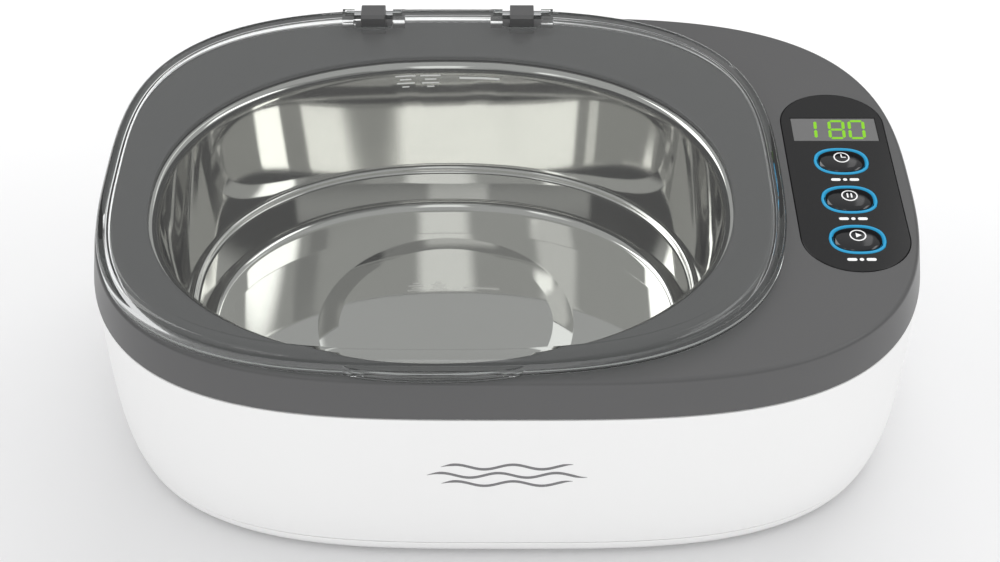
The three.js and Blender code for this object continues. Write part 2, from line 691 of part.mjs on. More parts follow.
function makeInlet() {
  const backY = INLET.faceY - INLET.depth;
  const pinX = [-1, 1].map((side) => INLET.x + (side * INLET.pinSpacing) / 2);
  const cavityY = INLET.faceY - SOCKET.depth;
  const wells = pinX.map((x) => rodAlongY(SOCKET.radius, cavityY, INLET.faceY + 1, x, INLET.z, 16));
  const waist = block(
    pinX[0], pinX[1], cavityY, INLET.faceY + 1, INLET.z - SOCKET.waist / 2, INLET.z + SOCKET.waist / 2,
  );
  const pinHoles = pinX.map((x) => rodAlongY(INLET_PIN_RADIUS + GAP, backY - 1, cavityY + 1, x, INLET.z, 10));
  return combine(prismAlongY(inletShape(0), backY, INLET.faceY), { cut: [...wells, waist, ...pinHoles] });
}

// A round lead along a smooth curve through the points.
function makeLead(points) {
  const section = new THREE.Shape();
  section.absarc(0, 0, LEAD_RADIUS, 0, 2 * Math.PI, false);
  const extrudePath = new THREE.CatmullRomCurve3(points.map((point) => new THREE.Vector3(...point)));
  return closed(new THREE.ExtrudeGeometry(section, { extrudePath, steps: 9, curveSegments: 3 }));
}

// A flat ribbon from the control board down to the power board, bent in the XZ plane.
function makeRibbon() {
  const path = [
    [RIBBON.x, CONTROL_BOARD.topZ - CONTROL_BOARD.thickness - GAP],
    [RIBBON.x - 6, 48],
    [RIBBON.x - 8, 36],
    [RIBBON.x - 5, 22],
    [RIBBON.x, BOARD_TOP_Z],
  ];
  const half = RIBBON.thickness / 2;
  const left = path.map(([x, z]) => new THREE.Vector2(x - half, z));
  const right = path.map(([x, z]) => new THREE.Vector2(x + half, z)).reverse();
  return prismAlongY(
    new THREE.Shape([...left, ...right]), RIBBON.y - RIBBON.width / 2, RIBBON.y + RIBBON.width / 2,
  );
}

// ---------------------------------------------------------------- assembly

addPart('base_shell', 'white_plastic', makeBaseShell());
addPart('bottom_cover', 'white_plastic', makeBottomCover());
addPart('top_cover', 'grey_plastic', makeTopCover());
addPart('tank', 'polished_steel', makeTank());
addPart('tank_gasket', 'silicone', makeGasket());
addPart('lid', 'clear_plastic', makeLid());

['left', 'right'].forEach((side, i) => {
  addPart(`hinge_pin_${side}`, 'pin_steel', makeHingePin(HINGE_X[i]));
  addPart(`hinge_clip_${side}`, 'grey_plastic', makeHingeClip(HINGE_X[i]));
});

addPart('control_fascia', 'fascia_black', makeFascia());
addPart('display_window', 'display_grey', centredBlock(
  DISPLAY.x, DISPLAY.y, DISPLAY.width, DISPLAY.depth, PANEL_FLOOR_Z + GAP, PANEL_FACE_Z - 0.1,
));
addPart('display_module', 'component_black', centredBlock(
  DISPLAY.x, DISPLAY.y, 20, 11, CONTROL_BOARD.topZ + GAP, DECK_Z - DECK_THICKNESS - GAP,
));
for (const { name, y } of BUTTONS) {
  addPart(`button_${name}`, 'button_black', makeButton(y));
  addPart(`button_ring_${name}`, 'ring_blue', makeButtonRing(y));
  addPart(`tact_switch_${name}`, 'component_black', makeTactSwitch(y));
}
addPart('control_board', 'circuit_board', makeControlBoard());
PANEL_SCREWS.forEach(([x, y], i) => {
  const seatZ = CONTROL_BOARD.topZ - CONTROL_BOARD.thickness - GAP;
  addPart(`control_board_screw_${i + 1}`, 'screw_steel', makeScrew(seatZ, 1, 2.2, 1.4, 1.1, 6.5), x, y);
});

addPart('power_board', 'circuit_board', makePowerBoard());
BOARD_SCREWS.forEach(([x, y], i) => {
  addPart(`power_board_screw_${i + 1}`, 'screw_steel', makeScrew(BOARD_TOP_Z, -1, 2.6, 1.6, 1.4, 6), x, y);
});
addPart('transformer_core', 'ferrite', makeTransformerCore());
addPart('transformer_winding', 'copper_winding', makeTransformerWinding());
addPart('inductor', 'copper_winding', makeInductor());
addPart('filter_capacitor', 'component_black', rod(7, 0, 26, 16), 67, 23.5, BOARD_TOP_Z);
addPart('drive_capacitor', 'component_red', centredBlock(82, 22, 8, 18, BOARD_TOP_Z, BOARD_TOP_Z + 14));
addPart('heat_sink', 'aluminium', makeHeatSink());
addPart('power_transistor', 'component_black', block(
  HEAT_SINK.x + HEAT_SINK.plate + GAP, HEAT_SINK.x + HEAT_SINK.plate + GAP + 4.6,
  HEAT_SINK.y - 5, HEAT_SINK.y + 5, BOARD_TOP_Z + 4, BOARD_TOP_Z + 19,
));
addPart('fuse', 'fuse_glass', rodAlongY(2.6, -8, 12, 88, BOARD_TOP_Z + 3, 12));

addPart('transducer_plate', 'aluminium', rod(26, 15.7, 18.7, 24), TANK.x, TANK.y);
addPart('transducer_disc', 'piezo_ceramic', rod(20, 12.4, 15.4, 24), TANK.x, TANK.y);

addPart('power_inlet', 'component_black', makeInlet());
['left', 'right'].forEach((side, i) => {
  const x = INLET.x + ((2 * i - 1) * INLET.pinSpacing) / 2;
  const lowY = INLET.faceY - INLET.depth - 2;
  const pin = rodAlongY(INLET_PIN_RADIUS, lowY, INLET.faceY - 1.5, x, INLET.z, 10);
  addPart(`inlet_pin_${side}`, 'pin_steel', pin);
});

addPart('ribbon_cable', 'ribbon_grey', makeRibbon());
addPart('transducer_lead_live', 'lead_red', makeLead(
  [[-8, -2, 11], [18, 0, 8.6], [42, 3, 9], [54, 5, 12], [59, 6, 11]],
));
addPart('transducer_lead_return', 'lead_black', makeLead(
  [[-8, -10, 11], [18, -6, 8.6], [42, -3, 9], [54, -1, 12], [59, 0, 11]],
));
addPart('mains_lead_live', 'lead_red', makeLead(
  [[34.3, 54.6, 24], [37, 52, 23], [46, 50, 17], [58, 45, 12.5], [68, 37, 11]],
));
addPart('mains_lead_neutral', 'lead_black', makeLead(
  [[25.7, 54.6, 24], [28, 51, 22], [38, 48, 15], [53, 42.5, 11.5], [64, 37, 11]],
));

FEET.forEach(([x, y], i) => {
  const foot = turned([[0, 0], [5.4, 0], [6, 0.6], [6, 2.1], [0, 2.1]], 16);
  addPart(`foot_${i + 1}`, 'foot_rubber', foot, x, y);
});
BODY_SCREWS.forEach(([x, y], i) => {
  addPart(`bottom_screw_${i + 1}`, 'screw_steel', makeScrew(3.1, 1, 3.1, 1.3, 1.6, 18), x, y);
});

export default cleaner;
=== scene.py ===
"""Looks of a household ultrasonic cleaner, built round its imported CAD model.

Sizes are in millimetres, and MM turns them into Blender's metres. Places come from the CAD nodes.
"""

import json
import math

import bmesh
import bpy
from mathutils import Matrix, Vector


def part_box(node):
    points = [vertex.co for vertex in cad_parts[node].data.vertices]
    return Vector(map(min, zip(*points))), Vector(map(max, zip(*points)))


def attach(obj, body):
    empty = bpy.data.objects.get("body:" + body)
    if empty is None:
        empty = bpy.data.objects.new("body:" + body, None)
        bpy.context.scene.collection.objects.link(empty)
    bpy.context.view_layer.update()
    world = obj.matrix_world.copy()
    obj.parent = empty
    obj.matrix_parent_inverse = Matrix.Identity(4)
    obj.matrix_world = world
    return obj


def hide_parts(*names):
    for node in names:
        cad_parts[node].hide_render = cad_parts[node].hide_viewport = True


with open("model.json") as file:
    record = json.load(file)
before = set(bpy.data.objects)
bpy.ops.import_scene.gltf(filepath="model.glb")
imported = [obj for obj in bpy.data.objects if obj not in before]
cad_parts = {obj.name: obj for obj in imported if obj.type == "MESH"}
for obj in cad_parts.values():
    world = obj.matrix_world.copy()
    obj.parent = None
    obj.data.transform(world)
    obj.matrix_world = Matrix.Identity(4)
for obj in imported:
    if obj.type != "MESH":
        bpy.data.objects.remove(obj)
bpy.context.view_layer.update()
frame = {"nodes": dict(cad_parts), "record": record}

MM = 0.001
ROUND = 192  # points round a large outline
ON_AXIS = None  # a profile point in the middle of its outline


def corners(node):
    """Lowest and highest corner of a CAD node, in millimetres."""
    low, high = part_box(node)
    return low / MM, high / MM


def centre(node):
    """Middle of a CAD node, seen from above."""
    low, high = corners(node)
    return (low.x + high.x) / 2, (low.y + high.y) / 2


# ------------------------------ sizes

deck_low, deck_high = corners("top_cover")
shell_low, shell_high = corners("base_shell")
tray_low, tray_high = corners("bottom_cover")
tank_low, tank_high = corners("tank")
lid_low, lid_high = corners("lid")
panel_low, panel_high = corners("control_fascia")
lens_low, lens_high = corners("display_window")
inlet_low, inlet_high = corners("power_inlet")

DECK_Z = deck_high.z
BAND_Z = shell_high.z + 0.15
SEAM_Z = shell_low.z - 0.15
BAND_DRAFT = 1.58
TUCK = 3.4  # the wall curves in this far at its foot
TUCK_POWER = 6
WALL = 2.6
PANEL_STRAIGHT = 23.0  # half length of the panel's straight sides

FLANGE_WIDTH = 4.0
RIM_BEND = 2.6
STEEL = 0.8
LEDGE_DROP = 34.0
LEDGE_OFFSET = -6.5
LEDGE_STEP = 2.2
FLOOR_FILLET = 3.0
FLOOR_Z = tank_low.z + STEEL
EMBOSS_OUTER = 35.2
EMBOSS_INNER = 29.4
EMBOSS_RISE = 1.0

LID_MIDDLE_Y = -1.0  # of its outline, which leaves the tab out
LID_THICKNESS = 2.2
LID_EDGE = 2.5  # rounding of the lid's top edge
NOTCH_WIDTH = 11.0
NOTCH_FRONT_Y = 59.5
EAR_WIDTH = 3.4
EAR_Y = (64.2, 68.6)
EAR_RISE = (0.9, 5.4)  # above the deck
EAR_BORE = 1.4  # radius
CLIP_LEG_Y = (64.1, 67.9)
CLIP_SLOT_Y = (64.0, 68.0)
CLIP_BORE = 1.5  # radius
TAB = (-17, -69.9)
TAB_HALF_WIDTH = 22
TAB_HALF_DEPTH = 4
TAB_RISE = (0.9, 4.1)  # above the deck
TAB_GROOVES = (0.75, 1.5, 2.25)  # above the tab's underside

FOOT_SEAT = (6.3, 2.4)  # radius, and the height it reaches from below
SCREW_WELL = (3.6, 3.3)  # the same two
POLE_OFFSET = 4.3  # each pole of the inlet, from its middle
POLE_RADIUS = 3.9
WAIST_HALF_HEIGHT = 2.8

BUTTONS = ("timer", "pause", "start")
RING_POWER = 2.4
CAP_INSET = 0.95  # ring and gap between a ring's outside and its cap
CAP_POINTS = 64
DOME_RISE = 1.1
PRINT_THICKNESS = 0.05

CAMERA_ELEVATION = 43.68  # degrees
CAMERA_DISTANCE = 0.4904  # metres
CAMERA_AIM_DROP = 36.73  # below the deck
CAMERA_LENS = 64.26
CAMERA_SHIFT_X = -0.00706


class Outline:
    """A superellipse in the XY plane."""

    def __init__(self, x, y, half_width, half_depth, power_x, power_y):
        self.x, self.y = x, y
        self.half_width, self.half_depth = half_width, half_depth
        self.power_x, self.power_y = power_x, power_y

    def point(self, angle, offset=0.0):
        across, along = math.cos(angle), math.sin(angle)
        width = (self.half_width + offset) * abs(across) ** (2 / self.power_x)
        depth = (self.half_depth + offset) * abs(along) ** (2 / self.power_y)
        return Vector((self.x + math.copysign(width, across), self.y + math.copysign(depth, along)))

    def depth_at(self, x, offset=0.0):
        """Half depth of the outline where it crosses x."""
        across = min(1.0, abs(x - self.x) / (self.half_width + offset)) ** (self.power_x / 2)
        return (self.half_depth + offset) * math.sqrt(1 - across * across) ** (2 / self.power_y)


BODY = Outline(0, 0, shell_high.x, shell_high.y, power_x=3.37, power_y=2.84)
TANK = Outline(
    *centre("tank"),
    (tank_high.x - tank_low.x) / 2 - FLANGE_WIDTH,
    (tank_high.y - tank_low.y) / 2 - FLANGE_WIDTH,
    power_x=2.19,
    power_y=2.19,
)
LID = Outline(
    (lid_low.x + lid_high.x) / 2,
    LID_MIDDLE_Y,
    (lid_high.x - lid_low.x) / 2,
    lid_high.y - LID_MIDDLE_Y,
    power_x=2.9,
    power_y=3.0,
)


# ------------------------------ mesh tools


def new_object(name, mesh):
    piece = bpy.data.objects.new(name, mesh)
    bpy.context.scene.collection.objects.link(piece)
    return piece


def mesh_from(name, points, faces):
    """An object from points in millimetres and faces, with its faces pointing out."""
    mesh = bpy.data.meshes.new(name)
    mesh.from_pydata([Vector(p) * MM for p in points], [], faces)
    shape = bmesh.new()
    shape.from_mesh(mesh)
    bmesh.ops.remove_doubles(shape, verts=shape.verts, dist=1e-7)
    bmesh.ops.recalc_face_normals(shape, faces=shape.faces)
    shape.to_mesh(mesh)
    shape.free()
    return new_object(name, mesh)


def loft(name, rings, closed_loop=False):
    """A skin over rings of points with equal counts. A ring of one point is a pole."""
    points, starts = [], []
    for ring in rings:
        starts.append(len(points))
        points.extend(ring)
    faces = []
    pairs = [(i, i + 1) for i in range(len(rings) - 1)]
    if closed_loop:
        pairs.append((len(rings) - 1, 0))
    for a, b in pairs:
        count = max(len(rings[a]), len(rings[b]))
        for i in range(count):
            j = (i + 1) % count
            if len(rings[a]) == 1:
                faces.append((starts[a], starts[b] + j, starts[b] + i))
            elif len(rings[b]) == 1:
                faces.append((starts[a] + i, starts[a] + j, starts[b]))
            else:
                faces.append((starts[a] + i, starts[a] + j, starts[b] + j, starts[b] + i))
    return mesh_from(name, points, faces)


def outline_ring(outline, offset, z, count=ROUND):
    if offset is ON_AXIS:
        return [(outline.x, outline.y, z)]
    turn = 2 * math.pi / count
    return [(*outline.point(i * turn, offset), z) for i in range(count)]


def ellipse(x, y, half_width, half_depth, z, count=ROUND):
    turn = 2 * math.pi / count
    angles = [i * turn for i in range(count)]
    return [(x + half_width * math.cos(a), y + half_depth * math.sin(a), z) for a in angles]


def circle(x, y, radius, z, count=ROUND):
    return ellipse(x, y, radius, radius, z, count)


def sweep(name, outline, profile, count=ROUND, closed_loop=False):
    """A section of (offset, height) points swept round an outline."""
    return loft(name, [outline_ring(outline, o, z, count) for o, z in profile], closed_loop)


def arc(offset, z, radius, start, end, steps):
    """Profile points on a circular arc, between two angles in degrees."""
    points = []
    for i in range(steps + 1):
        angle = math.radians(start + (end - start) * i / steps)
        points.append((offset + radius * math.cos(angle), z + radius * math.sin(angle)))
    return points


def prism(name, outline_points, low_z, high_z):
    """A prism of a flat outline between two heights."""
    count = len(outline_points)
    low = [(x, y, low_z) for x, y in outline_points]
    high = [(x, y, high_z) for x, y in outline_points]
    faces = [tuple(range(count)), tuple(range(count, 2 * count))]
    faces += [(i, (i + 1) % count, count + (i + 1) % count, count + i) for i in range(count)]
    return mesh_from(name, low + high, faces)


def rectangle(low, high):
    return [(low[0], low[1]), (high[0], low[1]), (high[0], high[1]), (low[0], high[1])]


def box(name, low, high):
    return prism(name, rectangle(low, high), low[2], high[2])


def turned(name, profile, x=0.0, y=0.0, count=48):
    """A piece turned about the Z axis from (radius, height) points; radius 0 is a pole."""
    rings = []
    for radius, z in profile:
        if radius == 0:
            rings.append([(x, y, z)])
        else:
            rings.append(circle(x, y, radius, z, count))
    return loft(name, rings)


def facing_out(piece, close_ends=False):
    """Turns a piece's faces outward, after closing its open ends if it has any to close."""
    shape = bmesh.new()
    shape.from_mesh(piece.data)
    if close_ends:
        bmesh.ops.holes_fill(shape, edges=shape.edges)
    bmesh.ops.recalc_face_normals(shape, faces=shape.faces)
    shape.to_mesh(piece.data)
    shape.free()
    return piece


def laid(piece, swap):
    """Turns a piece's own axes: swap gives which coordinate each of x, y and z comes from."""
    for vertex in piece.data.vertices:
        vertex.co = Vector([vertex.co[i] for i in swap])
    return facing_out(piece)


ALONG_X = (2, 0, 1)  # a prism drawn in (y, z) and pulled along x
ALONG_Y = (0, 2, 1)  # a prism drawn in (x, z) and pulled along y


def bake_modifiers(piece):
    graph = bpy.context.evaluated_depsgraph_get()
    mesh = bpy.data.meshes.new_from_object(piece.evaluated_get(graph))
    piece.modifiers.clear()
    piece.data = mesh


def boolean(piece, operation, *tools):
    for tool in tools:
        modifier = piece.modifiers.new("boolean", "BOOLEAN")
        modifier.object = tool
        modifier.operation = operation
        modifier.solver = "EXACT"
        bpy.context.view_layer.update()
        bake_modifiers(piece)
        bpy.data.objects.remove(tool)
    return piece


def bevel(piece, width, segments=3, angle=40):
    modifier = piece.modifiers.new("bevel", "BEVEL")
    modifier.width = width * MM
    modifier.segments = segments
    modifier.limit_method = "ANGLE"
    modifier.angle_limit = math.radians(angle)
    bpy.context.view_layer.update()
    bake_modifiers(piece)
    return piece


def joined(name, pieces):
    """Several meshes as one object."""
    shape = bmesh.new()
    for piece in pieces:
        shape.from_mesh(piece.data)
        bpy.data.objects.remove(piece)
    mesh = bpy.data.meshes.new(name)
    shape.to_mesh(mesh)
    shape.free()
    return new_object(name, mesh)


def smooth(piece, angle=32):
    """Smooth shading with creases at sharp edges, and normals that keep flat faces flat."""
    for polygon in piece.data.polygons:
        polygon.use_smooth = True
    piece.data.set_sharp_from_angle(angle=math.radians(angle))
    modifier = piece.modifiers.new("weighted_normal", "WEIGHTED_NORMAL")
    modifier.keep_sharp = True
    return piece


def rounded_rectangle(low, high, radius, steps=6):
    points = []
    centres = (
        (high[0] - radius, high[1] - radius, 0),
        (low[0] + radius, high[1] - radius, 90),
        (low[0] + radius, low[1] + radius, 180),
        (high[0] - radius, low[1] + radius, 270),
    )
    for x, y, start in centres:
        points.extend(arc(x, y, radius, start, start + 90, steps))
    return points


# ------------------------------ materials


def shader(name, colour, roughness, metallic=0.0, ior=1.5, coat=0.0):
    material = bpy.data.materials.new(name)
    material.use_nodes = True
    principled = material.node_tree.nodes["Principled BSDF"]
    principled.inputs["Base Color"].default_value = (*colour, 1)
    principled.inputs["Roughness"].default_value = roughness
    principled.inputs["Metallic"].default_value = metallic
    principled.inputs["IOR"].default_value = ior
    principled.inputs["Coat Weight"].default_value = coat
    return material, material.node_tree, principled


def noise(tree, scale, detail=3.0, stretch=(1, 1, 1)):
    """Noise in the object's own space; scale is in features per metre."""
    place = tree.nodes.new("ShaderNodeTexCoord")
    mapping = tree.nodes.new("ShaderNodeMapping")
    mapping.inputs["Scale"].default_value = stretch
    texture = tree.nodes.new("ShaderNodeTexNoise")
    texture.inputs["Scale"].default_value = scale
    texture.inputs["Detail"].default_value = detail
    tree.links.new(place.outputs["Object"], mapping.inputs["Vector"])
    tree.links.new(mapping.outputs["Vector"], texture.inputs["Vector"])
    return texture.outputs["Fac"]


def mottle(tree, principled, colour, amount, factor):
    """Base colour that drifts by amount either side of colour."""
    ramp = tree.nodes.new("ShaderNodeValToRGB")
    ramp.color_ramp.elements[0].position = 0.1
    ramp.color_ramp.elements[1].position = 0.9
    ramp.color_ramp.elements[0].color = (*[c * (1 - amount) for c in colour], 1)
    ramp.color_ramp.elements[1].color = (*[min(1, c * (1 + amount)) for c in colour], 1)
    tree.links.new(factor, ramp.inputs["Fac"])
    tree.links.new(ramp.outputs["Color"], principled.inputs["Base Color"])


def vary_roughness(tree, principled, low, high, factor):
    spread = tree.nodes.new("ShaderNodeMapRange")
    spread.inputs["From Min"].default_value = 0.1
    spread.inputs["From Max"].default_value = 0.9
    spread.inputs["To Min"].default_value = low
    spread.inputs["To Max"].default_value = high
    tree.links.new(factor, spread.inputs["Value"])
    tree.links.new(spread.outputs["Result"], principled.inputs["Roughness"])


def grain(tree, principled, height, factor):
    """Bump whose peaks stand height millimetres proud."""
    bump = tree.nodes.new("ShaderNodeBump")
    bump.inputs["Strength"].default_value = 1.0
    bump.inputs["Distance"].default_value = height * MM
    tree.links.new(factor, bump.inputs["Height"])
    tree.links.new(bump.outputs["Normal"], principled.inputs["Normal"])


def plastic(name, colour, roughness, spread=0.05, drift=0.03, pit=0.006, coat=0.0, pit_scale=2600):
    """Moulded plastic: faint colour drift, uneven gloss and a fine mould texture."""
    material, tree, principled = shader(name, colour, roughness, coat=coat)
    mottle(tree, principled, colour, drift, noise(tree, 22, 2))
    vary_roughness(tree, principled, roughness - spread, roughness + spread, noise(tree, 40, 2))
    grain(tree, principled, pit, noise(tree, pit_scale, 2))
    return material


def metal(name, colour, roughness, spread=0.03, stretch=(1, 1, 1), pit=0.002, scale=900, drift=0.03):
    """Metal with uneven polish and fine lines along the stretched axis."""
    material, tree, principled = shader(name, colour, roughness, metallic=1.0)
    lines = noise(tree, scale, 4, stretch)
    mottle(tree, principled, colour, drift, noise(tree, 35, 4))
    vary_roughness(tree, principled, roughness - spread, roughness + spread, noise(tree, 120, 5))
    grain(tree, principled, pit, lines)
    return material


def clear_plastic(name):
    """Clear moulded plastic.

    What lights the pieces under it passes straight through, as it does through a thin cover. Only
    what is seen through it is bent.
    """
    material, tree, principled = shader(name, (0.97, 0.98, 0.98), 0.02, ior=1.49)
    principled.inputs["Transmission Weight"].default_value = 1.0
    principled.inputs["Specular IOR Level"].default_value = 0.42
    mottle(tree, principled, (0.965, 0.972, 0.97), 0.008, noise(tree, 18, 2))
    vary_roughness(tree, principled, 0.0, 0.02, noise(tree, 40, 3))
    path = tree.nodes.new("ShaderNodeLightPath")
    mirrored = combine(tree, "SUBTRACT", path.outputs["Is Glossy Ray"], path.outputs["Is Transmission Ray"])
    scattered = combine(tree, "MAXIMUM", path.outputs["Is Shadow Ray"], path.outputs["Is Diffuse Ray"])
    see_through = tree.nodes.new("ShaderNodeBsdfTransparent")
    see_through.inputs["Color"].default_value = (0.82, 0.83, 0.825, 1)
    mix = tree.nodes.new("ShaderNodeMixShader")
    tree.links.new(combine(tree, "MAXIMUM", mirrored, scattered), mix.inputs["Fac"])
    tree.links.new(principled.outputs["BSDF"], mix.inputs[1])
    tree.links.new(see_through.outputs["BSDF"], mix.inputs[2])
    tree.links.new(mix.outputs["Shader"], tree.nodes["Material Output"].inputs["Surface"])
    return material


def combine(tree, operation, first, second):
    node = tree.nodes.new("ShaderNodeMath")
    node.operation = operation
    tree.links.new(first, node.inputs[0])
    tree.links.new(second, node.inputs[1])
    return node.outputs[0]


def glow(name, colour, strength):
    """A tinted body that also gives light of its own."""
    body = [c * 0.25 for c in colour]
    material, tree, principled = shader(name, body, 0.3)
    mottle(tree, principled, body, 0.15, noise(tree, 900, 2))
    principled.inputs["Emission Color"].default_value = (*colour, 1)
    principled.inputs["Emission Strength"].default_value = strength
    return material


def winding(name, colour):
    """Enamelled copper wire: fine ridges across the winding."""
    material, tree, principled = shader(name, colour, 0.35, metallic=0.9)
    mottle(tree, principled, colour, 0.12, noise(tree, 300, 3))
    vary_roughness(tree, principled, 0.25, 0.45, noise(tree, 200, 3))
    grain(tree, principled, 0.2, noise(tree, 900, 1, (0.2, 0.2, 3)))
    return material


def circuit_board(name, colour):
    """Solder mask with faint traces under it."""
    material, tree, principled = shader(name, colour, 0.4)
    mottle(tree, principled, colour, 0.25, noise(tree, 260, 1, (1, 0.2, 1)))
    vary_roughness(tree, principled, 0.3, 0.5, noise(tree, 90, 3))
    grain(tree, principled, 0.03, noise(tree, 500, 1, (0.3, 1, 1)))
    return material


def make_materials():
    return {
        "white_plastic": plastic("white_plastic", (0.89, 0.89, 0.887), 0.3, 0.03, 0.006, 0.001),
        "grey_plastic": plastic(
            "grey_plastic", (0.098, 0.098, 0.099), 0.36, drift=0.012, pit=0.006, pit_scale=3200
        ),
        "clear_plastic": clear_plastic("clear_plastic"),
        "polished_steel": metal(
            "polished_steel", (0.79, 0.785, 0.76), 0.045, 0.015, (1, 1, 0.12), 0.0001, 700, 0.02
        ),
        "pin_steel": metal("pin_steel", (0.66, 0.67, 0.68), 0.2, stretch=(0.1, 1, 1), pit=0.01),
        "fascia_black": plastic("fascia_black", (0.006, 0.006, 0.0065), 0.12, 0.03, 0.1, 0.001, 0.1),
        "button_black": plastic("button_black", (0.006, 0.0065, 0.008), 0.1, 0.03, 0.15, 0.001, 0.5),
        "ring_blue": glow("ring_blue", (0.035, 0.38, 0.68), 0.72),
        "display_grey": plastic("display_grey", (0.145, 0.145, 0.145), 0.16, 0.03, 0.05, 0.001, 0.3),
        "digit_green": glow("digit_green", (0.25, 0.64, 0.012), 0.8),
        "print_white": plastic("print_white", (0.93, 0.93, 0.93), 0.4, 0.05, 0.02, 0.002),
        # painted light: the print glows a little, though real print gives no light, so that it reads in the
        # tank's shade
        "tank_print_painted_glow": glow("tank_print_painted_glow", (0.9, 0.9, 0.88), 0.5),
        "print_grey": plastic("print_grey", (0.19, 0.19, 0.195), 0.4, 0.05, 0.05, 0.002),
        "silicone": plastic("silicone", (0.68, 0.66, 0.62), 0.7, pit=0.02),
        "foot_rubber": plastic("foot_rubber", (0.022, 0.022, 0.022), 0.82, 0.06, 0.2, 0.06, pit_scale=1500),
        "circuit_board": circuit_board("circuit_board", (0.014, 0.15, 0.045)),
        "component_black": plastic("component_black", (0.012, 0.012, 0.013), 0.5, 0.08, 0.2, 0.02),
        "component_red": plastic("component_red", (0.33, 0.045, 0.02), 0.4, 0.05, 0.08, 0.01),
        "ferrite": plastic("ferrite", (0.045, 0.045, 0.047), 0.6, 0.08, 0.2, 0.04, pit_scale=1200),
        "copper_winding": winding("copper_winding", (0.46, 0.16, 0.05)),
        "aluminium": metal("aluminium", (0.60, 0.61, 0.62), 0.35, 0.06, (1, 0.1, 1), 0.01),
        "piezo_ceramic": plastic("piezo_ceramic", (0.62, 0.57, 0.46), 0.6, 0.06, 0.05, 0.01),
        "fuse_glass": plastic("fuse_glass", (0.72, 0.75, 0.76), 0.1, 0.03, 0.03, 0.001),
        "screw_steel": metal("screw_steel", (0.42, 0.43, 0.44), 0.33, 0.06, pit=0.008),
        "lead_red": plastic("lead_red", (0.42, 0.017, 0.012), 0.5),
        "lead_black": plastic("lead_black", (0.01, 0.01, 0.011), 0.5),
        "ribbon_grey": plastic("ribbon_grey", (0.27, 0.28, 0.29), 0.6, pit=0.02),
    }


materials = make_materials()
node_slots = {s["node"]: s["material_slot"] for s in frame["record"]["subparts"]}


def paint(piece, material):
    piece.data.materials.clear()
    piece.data.materials.append(materials[material])


def place(piece, body, material, *nodes, slot=None):
    """Finishes a new piece: its material, the body it rides on and the CAD nodes it stands for."""
    paint(piece, material)
    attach(piece, body)
    if nodes:
        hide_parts(*nodes)
    return piece


# ------------------------------ housing


def wall_offset(z):
    """How far the wall is tucked in at a height below the band."""
    depth = min(1, max(0, (BAND_Z - z) / (BAND_Z - tray_low.z)))
    return -TUCK * depth**TUCK_POWER


def heights(low, high, count):
    return [low + (high - low) * i / (count - 1) for i in range(count)]


def inlet_outline(grow):
    low = (inlet_low.x - grow, inlet_low.z - grow)
    high = (inlet_high.x + grow, inlet_high.z + grow)
    return rounded_rectangle(low, high, 3 + grow)


def make_base_shell():
    edge = 0.35
    outside = [(wall_offset(SEAM_Z) - edge, SEAM_Z + 0.1)]
    outside += [(wall_offset(z) - 0.1, z) for z in heights(SEAM_Z + 0.1 + edge, BAND_Z - 0.5, 26)]
    outside += [(-0.2, BAND_Z - 0.25), (-0.5, BAND_Z - 0.12)]
    inside = [(wall_offset(z) - WALL, z) for z in (BAND_Z - 0.12, 28, 13, SEAM_Z + 0.1)]
    shell = sweep("base_shell_skin", BODY, outside + inside, closed_loop=True)
    through_rear_wall = (60, 90)
    cutter = laid(prism("inlet_hole", inlet_outline(0.3), *through_rear_wall), ALONG_Y)
    return smooth(boolean(shell, "DIFFERENCE", cutter))


def make_bottom_cover():
    low, high = tray_low.z, SEAM_Z - 0.15
    inside_z = 4.5
    rim = wall_offset(high)
    profile = [(ON_AXIS, low), (-TUCK - 1.9, low)]
    profile += arc(-TUCK - 1.2, low + 1.0, 1.0, -90, -15, 5)
    profile += [(wall_offset(z) - 0.1, z) for z in heights(low + 2.2, high - 0.35, 5)]
    profile += [(rim - 0.25, high - 0.1), (rim - 0.6, high), (rim - 3.5, high)]
    profile += [(rim - 3.5, tray_high.z), (rim - 5.3, tray_high.z)]
    profile += [(rim - 5.3, inside_z), (ON_AXIS, inside_z)]
    cover = sweep("bottom_cover_skin", BODY, profile)
    cutters = []
    for number in range(1, 5):
        for node, (radius, top_z) in (("foot", FOOT_SEAT), ("bottom_screw", SCREW_WELL)):
            recess = prism_turn(0, top_z, radius)
            cutters.append(turned(f"{node}_recess", recess, *centre(f"{node}_{number}")))
    return smooth(boolean(cover, "DIFFERENCE", *cutters))


def panel_outline(grow, steps=28):
    x, y = centre("control_fascia")
    half_width = (panel_high.x - panel_low.x) / 2
    end_depth = (panel_high.y - panel_low.y) / 2 - PANEL_STRAIGHT
    points = []
    for end in (1, -1):
        for i in range(steps + 1):
            angle = math.pi * i / steps
            across = end * (half_width + grow) * math.cos(angle)
            along = end * (PANEL_STRAIGHT + (end_depth + grow) * math.sin(angle))
            points.append((x + across, y + along))
    return points


